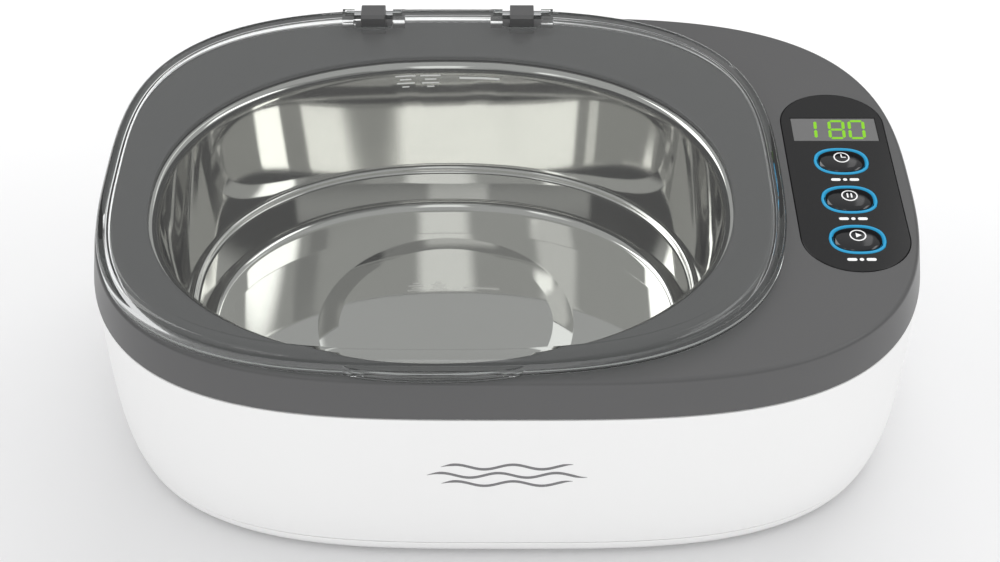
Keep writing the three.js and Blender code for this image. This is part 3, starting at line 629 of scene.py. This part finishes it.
def make_top_cover():
    """The deck is a flat skin between the body's outline and the tank's, then down round the rim."""
    fillet = 1.2
    under = DECK_Z - 2.4
    inner = -WALL - 2.0
    turn = -BAND_DRAFT - fillet
    outer = [(inner, under), (inner, deck_low.z), (inner + 1.5, deck_low.z), (inner + 1.5, BAND_Z + 0.15)]
    outer += [(-0.5, BAND_Z + 0.15), (-0.12, BAND_Z + 0.3), (0, BAND_Z + 0.65)]
    outer += arc(turn, DECK_Z - fillet, fillet, 8, 90, 7) + [(turn - 0.4, DECK_Z)]
    rings = [outline_ring(BODY, o, z) for o, z in outer]
    rim = [(0.7, DECK_Z), (0.3, DECK_Z - 0.05), (0.08, DECK_Z - 0.2), (0, DECK_Z - 0.45)]
    rim += [(0, DECK_Z - 1.2), (FLANGE_WIDTH + 0.3, DECK_Z - 1.2), (FLANGE_WIDTH + 0.3, under)]
    rings += [outline_ring(TANK, o, z) for o, z in rim]
    cover = loft("top_cover_skin", rings, closed_loop=True)
    pocket = prism("panel_pocket", panel_outline(0.12), DECK_Z - 1.9, DECK_Z + 5)
    boolean(cover, "DIFFERENCE", pocket)
    cutters = []
    for name in BUTTONS:
        outline = button_outline(name, 0.5)
        cutters.append(sweep("button_hole", outline, prism_profile(DECK_Z - 6, DECK_Z + 3), 48))
    for side in ("left", "right"):
        low, high = corners(f"hinge_clip_{side}")
        slot_low = (low.x - 0.1, CLIP_SLOT_Y[0], DECK_Z - 5)
        slot_high = (high.x + 0.1, CLIP_SLOT_Y[1], DECK_Z + 3)
        cutters.append(box("clip_slot", slot_low, slot_high))
    return smooth(boolean(cover, "DIFFERENCE", *cutters))


def prism_profile(low, high):
    return [(ON_AXIS, low), (0, low), (0, high), (ON_AXIS, high)]


def make_tank():
    """Flange, rolled rim, drafted wall, inward ledge, lower wall and a floor with a raised disc."""
    bend_z = tank_high.z - RIM_BEND
    ledge_z = DECK_Z - LEDGE_DROP
    shelf = LEDGE_OFFSET - LEDGE_STEP
    turn = shelf - 0.9 - FLOOR_FILLET
    turn_z = FLOOR_Z + FLOOR_FILLET
    inside = [(FLANGE_WIDTH, tank_high.z), (0.5, tank_high.z)]
    inside += arc(0, bend_z, RIM_BEND, 90, 180, 10)
    inside += [(-RIM_BEND - 0.1, bend_z - 0.8), (LEDGE_OFFSET + 0.05, ledge_z + 0.6)]
    inside += arc(LEDGE_OFFSET - 1.1, ledge_z - 0.1, 1.1, 0, -78, 5)
    inside += arc(shelf + 0.75, ledge_z - 2.05, 0.85, 80, 172, 6)
    inside += arc(turn, turn_z, FLOOR_FILLET, 0, -90, 12)
    outside = [(0, tank_high.z - STEEL), (FLANGE_WIDTH, tank_high.z - STEEL)]
    under = arc(turn, turn_z, FLOOR_FILLET + STEEL, -90, 0, 8) + [(shelf + 0.7, ledge_z - 2.4)]
    under += [(LEDGE_OFFSET + STEEL, ledge_z - 0.6), (-RIM_BEND + STEEL, bend_z)]
    top = [outline_ring(TANK, o, z) for o, z in inside]
    top += [circle(TANK.x, TANK.y, radius, z) for radius, z in emboss_profile(FLOOR_Z)]
    top.append([(TANK.x, TANK.y, FLOOR_Z + EMBOSS_RISE)])
    bottom = [[(TANK.x, TANK.y, FLOOR_Z + EMBOSS_RISE - STEEL)]]
    for radius, z in reversed(emboss_profile(FLOOR_Z - STEEL)):
        bottom.append(circle(TANK.x, TANK.y, radius - 0.4, z))
    bottom += [outline_ring(TANK, o, z) for o, z in under + outside]
    tank = joined("tank_skin", [loft("tank_inside", top), loft("tank_outside", bottom)])
    shape = bmesh.new()
    shape.from_mesh(tank.data)
    bmesh.ops.remove_doubles(shape, verts=shape.verts, dist=1e-6)
    rim_edges = [e for e in shape.edges if e.is_boundary]
    bmesh.ops.bridge_loops(shape, edges=rim_edges)
    bmesh.ops.recalc_face_normals(shape, faces=shape.faces)
    shape.to_mesh(tank.data)
    shape.free()
    return smooth(tank, 50)


def emboss_profile(floor_z):
    """Round step in the tank's floor, from outside to inside."""
    return [
        (EMBOSS_OUTER + 0.35, floor_z),
        (EMBOSS_OUTER + 0.1, floor_z - 0.08),
        (EMBOSS_OUTER - 0.15, floor_z + 0.03),
        (EMBOSS_INNER + 0.15, floor_z + EMBOSS_RISE - 0.03),
        (EMBOSS_INNER - 0.1, floor_z + EMBOSS_RISE - 0.08),
        (EMBOSS_INNER - 0.35, floor_z + EMBOSS_RISE),
    ]


def tank_wall_point(x, z, proud):
    """A point on the inside of the tank's back wall, moved off it by proud."""
    top_z = tank_high.z - RIM_BEND
    share = (top_z - z) / (top_z - (DECK_Z - LEDGE_DROP))
    offset = -RIM_BEND + (LEDGE_OFFSET + RIM_BEND) * share
    return (x, TANK.y + TANK.depth_at(x, offset) - proud, z)


def tank_mark(name, low_x, high_x, z, height, steps=12):
    """A printed bar on the back wall of the tank."""
    top_z, low_z = z + height / 2, z - height / 2
    section = ((top_z, 0.06), (low_z, 0.06), (low_z, -0.1), (top_z, -0.1))
    rings = []
    for i in range(steps + 1):
        x = low_x + (high_x - low_x) * i / steps
        rings.append([tank_wall_point(x, edge_z, proud) for edge_z, proud in section])
    return facing_out(loft(name, rings), close_ends=True)


def make_tank_marks():
    """Fill line and two small groups of plain dashes beside it."""
    line_z = DECK_Z - 5.4
    bars = [tank_mark("fill", -13.4, -2.2, line_z, 0.55)]
    row_step = 1.15
    row_length = 5.6
    for group_x in (-31.4, -24.4):
        for row, inset in enumerate((0, 1.2, 0.4, 1.8)):
            low_x, high_x = group_x + inset, group_x + row_length - inset
            z = line_z + 0.8 - row * row_step
            bars.append(tank_mark("dash", low_x, high_x, z, 0.32, 4))
    return smooth(joined("tank_fill_marks", bars))


# ------------------------------ lid and hinge


def lid_profile(rim_z, top_z):
    """Section of the lid from its middle underneath, round the rim, to its middle on top."""
    under_z = top_z - LID_THICKNESS
    groove_z = rim_z + 1.9
    top_step = 0.25
    profile = [(ON_AXIS, under_z), (-LID_THICKNESS - 2.0, under_z)]
    profile += arc(-LID_THICKNESS - 1.5, under_z - 1.5, 1.5, 90, 0, 6)
    profile += [(-LID_THICKNESS, rim_z + 0.3), (-LID_THICKNESS + 0.3, rim_z), (-0.9, rim_z)]
    profile += arc(-0.9, rim_z + 0.9, 0.9, -60, 0, 4)
    profile += [(0, groove_z - 0.35), (-0.3, groove_z), (0, groove_z + 0.35)]
    profile += arc(-LID_EDGE, top_z - LID_EDGE, LID_EDGE, 0, 90, 9)
    profile += [(-LID_EDGE - 1.6, top_z), (-LID_EDGE - 1.9, top_z - top_step)]
    return profile + [(ON_AXIS, top_z - top_step)]


def make_lid():
    """Clear cover with a finger tab in front, and two notches with ears that hold the pins."""
    rim_z, top_z = lid_low.z, lid_high.z
    cover = sweep("lid_skin", LID, lid_profile(rim_z, top_z))
    additions = [make_tab(rim_z)]
    notches, pin_holes = [], []
    half = NOTCH_WIDTH / 2
    beyond_lid_y = 99
    for side in ("left", "right"):
        pin_low, pin_high = corners(f"hinge_pin_{side}")
        middle = (pin_low + pin_high) / 2
        for low_x, high_x in ((-half - EAR_WIDTH, -half), (half, half + EAR_WIDTH)):
            low = (middle.x + low_x, EAR_Y[0], DECK_Z + EAR_RISE[0])
            high = (middle.x + high_x, EAR_Y[1], DECK_Z + EAR_RISE[1])
            additions.append(box("ear", low, high))
        notch_low, notch_high = (middle.x - half, NOTCH_FRONT_Y), (middle.x + half, beyond_lid_y)
        notch = rounded_rectangle(notch_low, notch_high, 2)
        notches.append(prism("notch", notch, rim_z - 2, top_z + 2))
        bore = prism_turn(pin_low.x - 0.2, pin_high.x + 0.2, EAR_BORE)
        pin_holes.append(laid(turned("pin_hole", bore, middle.y, middle.z, 24), ALONG_X))
    boolean(cover, "UNION", *additions)
    boolean(cover, "DIFFERENCE", *notches, *pin_holes)
    return smooth(cover, 40)


def make_tab(rim_z):
    """Finger tab: a crescent on the front wall, with fine grooves along it."""
    low, high = DECK_Z + TAB_RISE[0], DECK_Z + TAB_RISE[1]
    layers = [(-0.35, low), (0, low + 0.3)]
    for groove in TAB_GROOVES:
        layers += [(0, low + groove - 0.2), (-0.45, low + groove), (0, low + groove + 0.2)]
    layers += [(0, high - 0.3), (-0.35, high)]
    rings = [[(*TAB, low)]]
    for offset, z in layers:
        rings.append(ellipse(*TAB, TAB_HALF_WIDTH + offset, TAB_HALF_DEPTH + offset, z, 96))
    rings.append([(*TAB, high)])
    inside = -LID_THICKNESS + 0.4
    below, above = rim_z - 1, lid_high.z + 1
    trim = [(ON_AXIS, below), (inside, below), (inside, above), (ON_AXIS, above)]
    return boolean(loft("tab", rings), "DIFFERENCE", sweep("tab_trim", LID, trim))


def prism_turn(low, high, radius, chamfer=0.0):
    """Profile of a round bar between two heights, for turned()."""
    if not chamfer:
        return [(0, low), (radius, low), (radius, high), (0, high)]
    return [
        (0, low),
        (radius - chamfer, low),
        (radius, low + chamfer),
        (radius, high - chamfer),
        (radius - chamfer, high),
        (0, high),
    ]


def make_pin(side):
    low, high = corners(f"hinge_pin_{side}")
    middle = (low + high) / 2
    radius = (high.z - low.z) / 2
    pin = turned(f"hinge_pin_{side}_rod", prism_turn(low.x, high.x, radius, 0.25), middle.y, middle.z, 32)
    return smooth(laid(pin, ALONG_X))


def make_clip(side):
    """A block that stands on the deck and holds the pin, with a leg through the deck."""
    low, high = corners(f"hinge_clip_{side}")
    pin_low, pin_high = corners(f"hinge_pin_{side}")
    pin = (pin_low + pin_high) / 2
    back_round = 2.4
    leg_front, leg_back = CLIP_LEG_Y
    section = [(low.y, DECK_Z), (leg_front, DECK_Z), (leg_front, low.z)]
    section += [(leg_back, low.z), (leg_back, DECK_Z), (high.y, DECK_Z)]
    section += arc(high.y - back_round, high.z - back_round, back_round, 0, 90, 8)
    section += [(low.y + 0.8, high.z), (low.y, high.z - 0.8)]
    clip = laid(prism(f"hinge_clip_{side}_block", section, low.x, high.x), ALONG_X)
    bore = prism_turn(low.x - 1, high.x + 1, CLIP_BORE)
    boolean(clip, "DIFFERENCE", laid(turned("bore", bore, pin.y, pin.z, 32), ALONG_X))
    return smooth(bevel(clip, 0.28, 3, 50))


# ------------------------------ control panel


def button_outline(name, inset):
    low, high = corners(f"button_ring_{name}")
    x, y = centre(f"button_ring_{name}")
    half_width, half_depth = (high.x - low.x) / 2 - inset, (high.y - low.y) / 2 - inset
    return Outline(x, y, half_width, half_depth, RING_POWER, RING_POWER)


def dome_z(outline, x, y):
    """Height of a button's dome over a point inside its outline."""
    across = abs(x - outline.x) / outline.half_width
    along = abs(y - outline.y) / outline.half_depth
    share = min(1.0, (across**RING_POWER + along**RING_POWER) ** (1 / RING_POWER))
    crown, shoulder = 0.42, 0.45
    return DECK_Z + DOME_RISE - crown * share**2 - shoulder * share**10


def make_button(name):
    cap = button_outline(name, CAP_INSET)
    low, _ = corners(f"button_{name}")
    flange_z = DECK_Z - 2.7
    edge_z = dome_z(cap, cap.x + cap.half_width, cap.y)
    flange = [(ON_AXIS, low.z), (1.1, low.z), (1.1, flange_z), (0, flange_z), (0, edge_z - 0.3)]
    rings = [outline_ring(cap, o, z, CAP_POINTS) for o, z in flange]
    turn = 2 * math.pi / CAP_POINTS
    for share in (1, 0.985, 0.96, 0.92, 0.85, 0.72, 0.55, 0.36, 0.18):
        ring = []
        for i in range(CAP_POINTS):
            edge = cap.point(i * turn)
            x, y = cap.x + (edge.x - cap.x) * share, cap.y + (edge.y - cap.y) * share
            ring.append((x, y, dome_z(cap, x, y)))
        rings.append(ring)
    rings.append([(cap.x, cap.y, DECK_Z + DOME_RISE)])
    return smooth(loft(f"button_{name}_cap", rings), 40)


def make_ring(name):
    low, high = corners(f"button_ring_{name}")
    outline = button_outline(name, 0)
    thickness = 0.6
    lip = high.z - 0.2
    profile = [(-thickness, low.z), (0, low.z), (0, lip - 0.2)]
    profile += arc(-0.3, lip - 0.1, 0.3, 20, 90, 4)
    profile += arc(-thickness + 0.2, lip, 0.2, 90, 180, 4)
    return smooth(sweep(f"button_ring_{name}_band", outline, profile, 96, closed_loop=True))


def stroke(x, y, half_width, half_height):
    return rectangle((x - half_width, y - half_height), (x + half_width, y + half_height))


def make_icon(name):
    """Printed symbol on a button: a circle with hands, bars or a triangle in it."""
    cap = button_outline(name, CAP_INSET)
    x, y = cap.x, cap.y + 0.55
    radius, line = 2.1, 0.34
    rings = [
        circle(x, y, radius, 0, CAP_POINTS),
        circle(x, y, radius, PRINT_THICKNESS, CAP_POINTS),
        circle(x, y, radius - line, PRINT_THICKNESS, CAP_POINTS),
        circle(x, y, radius - line, 0, CAP_POINTS),
    ]
    pieces = [loft("icon_circle", rings, closed_loop=True)]
    if name == "timer":
        shapes = [stroke(x, y + 0.55, 0.16, 0.7), stroke(x + 0.5, y - 0.02, 0.62, 0.15)]
    elif name == "pause":
        shapes = [stroke(x - 0.5, y, 0.2, 0.85), stroke(x + 0.5, y, 0.2, 0.85)]
    else:
        shapes = [[(x - 0.5, y - 0.85), (x + 0.95, y), (x - 0.5, y + 0.85)]]
    pieces += [prism("icon_shape", shape, 0, PRINT_THICKNESS) for shape in shapes]
    icon = joined(f"icon_{name}", pieces)
    for vertex in icon.data.vertices:
        point = vertex.co / MM
        vertex.co.z = (dome_z(cap, point.x, point.y) + point.z - 0.02) * MM
    return icon


def make_caption(name):
    """A short row of plain dashes under a button, in place of a word."""
    ring = button_outline(name, 0)
    y = ring.y - ring.half_depth - 2.1
    widths = (2.5, 1.1, 2.5)
    gap = 0.6
    half = 0.5
    left = ring.x - (sum(widths) + gap * (len(widths) - 1)) / 2
    bars = []
    for width in widths:
        bar = rounded_rectangle((left, y - half), (left + width, y + half), half - 0.02)
        bars.append(prism("dash", bar, panel_high.z - 0.02, panel_high.z + 0.03))
        left += width + gap
    return joined(f"caption_{name}", bars)


def make_fascia():
    fascia = prism("control_fascia_plate", panel_outline(0), panel_low.z, panel_high.z)
    bevel(fascia, 0.25, 3, 60)
    low_z, high_z = DECK_Z - 4, DECK_Z + 3
    through = prism_profile(low_z, high_z)
    holes = [sweep("ring_hole", button_outline(name, -0.12), through, 96) for name in BUTTONS]
    gap = 0.1
    lens_hole_low = (lens_low.x - gap, lens_low.y - gap, low_z)
    lens_hole_high = (lens_high.x + gap, lens_high.y + gap, high_z)
    holes.append(box("lens_hole", lens_hole_low, lens_hole_high))
    return smooth(boolean(fascia, "DIFFERENCE", *holes))


# Each segment's place, in half widths and half heights from the digit's middle, and if it is upright.
SEGMENTS = {
    "a": (0, 1, False),
    "b": (1, 0.5, True),
    "c": (1, -0.5, True),
    "d": (0, -1, False),
    "e": (-1, -0.5, True),
    "f": (-1, 0.5, True),
    "g": (0, 0, False),
}
DIGITS = {"1": "bc", "8": "abcdefg", "0": "abcdef"}


def make_digit(position, digit, x, y):
    """Seven-segment digit: each lit segment is a bar with pointed ends."""
    half_width, half_height, bar = 1.85, 3.6, 0.42
    slant = 0.06
    bars = []
    for letter in DIGITS[digit]:
        across, along, upright = SEGMENTS[letter]
        centre_x, centre_y = x + across * half_width, y + along * half_height
        reach = (half_height / 2 if upright else half_width) - 0.16
        points = [(-reach, 0), (-reach + bar, -bar), (reach - bar, -bar)]
        points += [(reach, 0), (reach - bar, bar), (-reach + bar, bar)]
        if upright:
            points = [(b, a) for a, b in points]
        shifted = [(centre_x + a + (centre_y + b - y) * slant, centre_y + b) for a, b in points]
        bars.append(prism("segment", shifted, lens_high.z - 0.05, lens_high.z + 0.03))
    return joined(f"display_digit_{position}", bars)


# ------------------------------ base details


def body_front_point(x, z, proud):
    return (x, -BODY.depth_at(x, wall_offset(z)) - proud, z)


def make_emblem():
    """Three plain wave lines printed on the white front, a little above the wall's middle."""
    waves = []
    middle_z = (SEAM_Z + BAND_Z) / 2 + 4.5
    row_step = 3.1
    wave_height = 0.85
    steps = 96
    for row, half_length in enumerate((16.0, 19.5, 16.0)):
        z = middle_z + (1 - row) * row_step
        rings = []
        for i in range(steps + 1):
            share = i / steps
            x = -half_length + 2 * half_length * share
            rise = wave_height * math.sin(share * half_length * 0.9)
            half = 0.42 * min(1.0, 12 * share, 12 * (1 - share)) + 0.03
            section = ((half, 0.0), (-half, 0.0), (-half, -0.25), (half, -0.25))
            rings.append([body_front_point(x, z + rise + dz, proud - 0.06) for dz, proud in section])
        waves.append(facing_out(loft("wave", rings), close_ends=True))
    return smooth(joined("front_emblem", waves))


def make_foot(number):
    low, high = corners(f"foot_{number}")
    profile = [(0, low.z + 0.25), (3.2, low.z + 0.25), (3.6, low.z), (5.2, low.z)]
    profile += arc(5.2, low.z + 0.8, 0.8, -60, 0, 4) + [(6, high.z), (0, high.z)]
    return smooth(turned(f"foot_{number}_pad", profile, *centre(f"foot_{number}")))


def make_bottom_screw(number):
    """Pan head with a cross recess; the shank goes up into the housing."""
    low, high = corners(f"bottom_screw_{number}")
    x, y = centre(f"bottom_screw_{number}")
    head_z = low.z + 1.3
    profile = [(0, low.z), (2.2, low.z), (2.8, low.z + 0.3), (3.1, low.z + 0.8), (3.1, head_z)]
    profile += [(1.6, head_z), (1.6, high.z - 1.5), (0, high.z)]
    screw = turned(f"bottom_screw_{number}_head", profile, x, y)
    reach, half = 1.7, 0.3
    below, slot_z = low.z - 1, low.z + 0.8
    across = box("slot", (x - reach, y - half, below), (x + reach, y + half, slot_z))
    along = box("slot", (x - half, y - reach, below), (x + half, y + reach, slot_z))
    return smooth(boolean(screw, "DIFFERENCE", across, along))


def make_inlet():
    """Two-pole mains socket: a flanged body with two joined round wells."""
    body = laid(prism("power_inlet_body", inlet_outline(0), inlet_low.y, inlet_high.y), ALONG_Y)
    bevel(body, 0.4, 3, 60)
    middle_x, middle_z = (inlet_low.x + inlet_high.x) / 2, (inlet_low.z + inlet_high.z) / 2
    cavity_y, mouth_y = inlet_high.y - 10, inlet_high.y + 2
    cutters = []
    for side in (-POLE_OFFSET, POLE_OFFSET):
        well = prism_turn(cavity_y, mouth_y, POLE_RADIUS)
        cutters.append(laid(turned("well", well, middle_x + side, middle_z, 48), ALONG_Y))
    waist = stroke(middle_x, middle_z, POLE_OFFSET, WAIST_HALF_HEIGHT)
    cutters.append(laid(prism("waist", waist, cavity_y, mouth_y), ALONG_Y))
    return smooth(boolean(body, "DIFFERENCE", *cutters))


def make_inlet_pin(side):
    low, high = corners(f"inlet_pin_{side}")
    middle = (low + high) / 2
    radius = (high.z - low.z) / 2
    pin = turned(f"inlet_pin_{side}_rod", prism_turn(low.y, high.y, radius, 0.4), middle.x, middle.z, 32)
    return smooth(laid(pin, ALONG_Y))


# ------------------------------ camera, floor and light


def make_camera():
    """A long lens in front of the object, looking down at its top."""
    elevation = math.radians(CAMERA_ELEVATION)
    aim = Vector((0, 0, (DECK_Z - CAMERA_AIM_DROP) * MM))
    camera = bpy.data.objects.new("camera", bpy.data.cameras.new("camera"))
    bpy.context.scene.collection.objects.link(camera)
    camera.data.lens = CAMERA_LENS
    camera.data.sensor_width = 36
    camera.data.shift_x = CAMERA_SHIFT_X
    camera.data.clip_start = 0.01
    toward_camera = Vector((0, -math.cos(elevation), math.sin(elevation)))
    camera.location = aim + CAMERA_DISTANCE * toward_camera
    camera.rotation_euler = (math.pi / 2 - elevation, 0, 0)
    bpy.context.scene.camera = camera


def make_floor():
    """A wide pale floor, painted brighter behind the object than in front: painted light for the light that
    falls more on the floor behind it.
    """
    half = 3000
    points = [(x, y, 0) for x, y in rectangle((-half, -half), (half, half))]
    floor = mesh_from("floor", points, [(0, 1, 2, 3)])
    material, tree, principled = shader("floor_white", (0.85, 0.85, 0.85), 0.9)
    principled.inputs["Specular IOR Level"].default_value = 0.1
    place_on_floor = tree.nodes.new("ShaderNodeTexCoord")
    split = tree.nodes.new("ShaderNodeSeparateXYZ")
    tree.links.new(place_on_floor.outputs["Object"], split.inputs["Vector"])
    distance = tree.nodes.new("ShaderNodeMapRange")
    distance.interpolation_type = "SMOOTHSTEP"
    distance.inputs["From Min"].default_value = -0.02
    distance.inputs["From Max"].default_value = 0.24
    tree.links.new(split.outputs["Y"], distance.inputs["Value"])
    # painted light: the floor's colour goes from 0.80 in front to white behind
    ramp = tree.nodes.new("ShaderNodeValToRGB")
    ramp.color_ramp.elements[0].color = (0.80, 0.80, 0.805, 1)
    ramp.color_ramp.elements[1].color = (1, 1, 1, 1)
    tree.links.new(distance.outputs["Result"], ramp.inputs["Fac"])
    tree.links.new(ramp.outputs["Color"], principled.inputs["Base Color"])
    floor.data.materials.append(material)


def band(tree, value, low, high, soft=0.02):
    """1 where value lies between low and high, 0 outside, with soft edges."""
    weights = []
    for edge, start, end in ((low, 0, 1), (high, 1, 0)):
        step = tree.nodes.new("ShaderNodeMapRange")
        step.interpolation_type = "SMOOTHSTEP"
        step.inputs["From Min"].default_value = edge - soft
        step.inputs["From Max"].default_value = edge + soft
        step.inputs["To Min"].default_value = start
        step.inputs["To Max"].default_value = end
        tree.links.new(value, step.inputs["Value"])
        weights.append(step.outputs["Result"])
    return product(tree, weights)


def product(tree, values):
    total = values[0]
    for value in values[1:]:
        total = combine(tree, "MULTIPLY", total, value)
    return total


# What polished surfaces mirror: a brightness and the directions it fills, as ranges of x, y and z.
STUDIO_GREY = 0.68
STUDIO_PANELS = (
    (0.07, (-2, 2), (-2, 2), (-2, 0.57)),
    (0.4, (-0.33, 0.5), (-2, -0.57), (0.5, 0.65)),
    (0.55, (-0.66, 0.68), (-2, -0.5), (0.485, 0.53)),
    (1.1, (-0.16, 0.03), (-2, -0.7), (0.485, 0.57)),
    (0.42, (0.2, 0.5), (-2, -0.42), (0.64, 0.78)),
    (0.42, (0.42, 0.5), (-0.6, -0.2), (0.7, 0.86)),
    (4.2, (-0.73, -0.36), (0.2, 2), (0.585, 2)),
    (3.4, (0.545, 0.70), (-0.46, 0.2), (0.655, 0.95)),
    (1.7, (-0.07, 0.05), (-2, -0.45), (0.62, 2)),
    (1.3, (-0.46, -0.29), (-0.54, -0.33), (0.7, 2)),
    (2.6, (-0.40, -0.31), (-0.7, -0.53), (0.7, 2)),
    (1.8, (0.225, 0.33), (0.35, 2), (0.6, 2)),
    (0.08, (0.2, 0.66), (-2, -0.54), (0.56, 0.625)),
    (0.06, (0.9, 2), (-2, 2), (-2, 2)),
    (0.06, (-2, -0.8), (-2, 2), (-2, 2)),
)
# Shows from the second reflection on, as in the steel, so that the lid's top doesn't mirror it.
BACK_PANEL = (2.9, (-0.095, 0.12), (0.5, 2), (0.585, 0.68))


def add_panel(tree, level, direction, panel, *limits):
    """Lays a panel over the brightness so far, where its directions and the limits allow it."""
    brightness, *ranges = panel
    weights = [band(tree, direction.outputs[axis], *span) for axis, span in zip("XYZ", ranges)]
    blend = tree.nodes.new("ShaderNodeMix")
    blend.inputs["A"].default_value = STUDIO_GREY
    blend.inputs["B"].default_value = brightness
    tree.links.new(product(tree, [*weights, *limits]), blend.inputs["Factor"])
    if level:
        tree.links.new(level, blend.inputs["A"])
    return blend.outputs["Result"]


def make_world():
    """Even white light for matt surfaces, and a studio of panels and dark sides for mirrors."""
    world = bpy.data.worlds.new("studio")
    bpy.context.scene.world = world
    world.use_nodes = True
    tree = world.node_tree
    background = tree.nodes["Background"]
    background.inputs["Color"].default_value = (1, 1, 1, 1)
    background.inputs["Strength"].default_value = 0.95
    direction = tree.nodes.new("ShaderNodeTexCoord")
    split = tree.nodes.new("ShaderNodeSeparateXYZ")
    tree.links.new(direction.outputs["Generated"], split.inputs["Vector"])
    path = tree.nodes.new("ShaderNodeLightPath")
    level = None
    for panel in STUDIO_PANELS:
        level = add_panel(tree, level, split, panel)
    second_reflection_on = band(tree, path.outputs["Glossy Depth"], 1.5, 99)
    level = add_panel(tree, level, split, BACK_PANEL, second_reflection_on)
    studio = tree.nodes.new("ShaderNodeBackground")
    tree.links.new(level, studio.inputs["Strength"])
    mix = tree.nodes.new("ShaderNodeMixShader")
    tree.links.new(path.outputs["Is Glossy Ray"], mix.inputs["Fac"])
    tree.links.new(background.outputs["Background"], mix.inputs[1])
    tree.links.new(studio.outputs["Background"], mix.inputs[2])
    tree.links.new(mix.outputs["Shader"], tree.nodes["World Output"].inputs["Surface"])


def make_panel_light(name, location, aim, width, depth, power):
    lamp = bpy.data.lights.new(name, "AREA")
    lamp.shape = "RECTANGLE"
    lamp.size, lamp.size_y = width, depth
    lamp.energy = power
    piece = bpy.data.objects.new(name, lamp)
    piece.visible_glossy = False
    piece.location = location
    piece.rotation_euler = (Vector(aim) - Vector(location)).to_track_quat("-Z", "Y").to_euler()
    bpy.context.scene.collection.objects.link(piece)


def make_lights():
    target = (0, 0, 0.05)
    make_panel_light("softbox_back", (0.25, 0.7, 0.75), target, 0.9, 0.35, 3.0)
    make_panel_light("softbox_front", (0.1, -0.9, 0.6), target, 1.2, 0.4, 1.3)


# ------------------------------ assembly


def dress_housing():
    place(make_base_shell(), "housing", "white_plastic", "base_shell")
    place(make_bottom_cover(), "housing", "white_plastic", "bottom_cover")
    place(make_top_cover(), "housing", "grey_plastic", "top_cover")
    place(make_tank(), "housing", "polished_steel", "tank")
    place(make_tank_marks(), "housing", "tank_print_painted_glow", slot="white_plastic")
    place(make_emblem(), "housing", "print_grey", slot="grey_plastic")
    place(make_inlet(), "housing", "component_black", "power_inlet")
    for side in ("left", "right"):
        place(make_inlet_pin(side), "housing", "pin_steel", f"inlet_pin_{side}")
        place(make_clip(side), "housing", "grey_plastic", f"hinge_clip_{side}")
        place(make_pin(side), "lid", "pin_steel", f"hinge_pin_{side}")
    for number in range(1, 5):
        place(make_foot(number), "housing", "foot_rubber", f"foot_{number}")
        place(make_bottom_screw(number), "housing", "screw_steel", f"bottom_screw_{number}")
    place(make_lid(), "lid", "clear_plastic", "lid")


def dress_panel():
    place(make_fascia(), "housing", "fascia_black", "control_fascia")
    lens = box("display_window_lens", lens_low, lens_high)
    place(smooth(bevel(lens, 0.12, 2)), "housing", "display_grey", "display_window")
    lens_x, lens_y = centre("display_window")
    for position, (digit, shift) in enumerate((("1", -6.9), ("8", 0.6), ("0", 6.0)), 1):
        piece = make_digit(position, digit, lens_x + shift, lens_y)
        place(piece, "housing", "digit_green", slot="display_grey")
    for name in BUTTONS:
        place(make_ring(name), "housing", "ring_blue", f"button_ring_{name}")
        place(make_button(name), f"button_{name}", "button_black", f"button_{name}")
        place(make_icon(name), f"button_{name}", "print_white", slot="white_plastic")
        place(make_caption(name), "housing", "print_white", slot="white_plastic")


def dress_inner_nodes():
    """The nodes inside the housing keep their CAD shapes and take their slot's material."""
    for name, node in frame["nodes"].items():
        if not node.hide_render:
            paint(node, node_slots[name])


make_camera()
make_floor()
make_world()
make_lights()
dress_housing()
dress_panel()
dress_inner_nodes()

bpy.context.scene.view_settings.view_transform = "Standard"
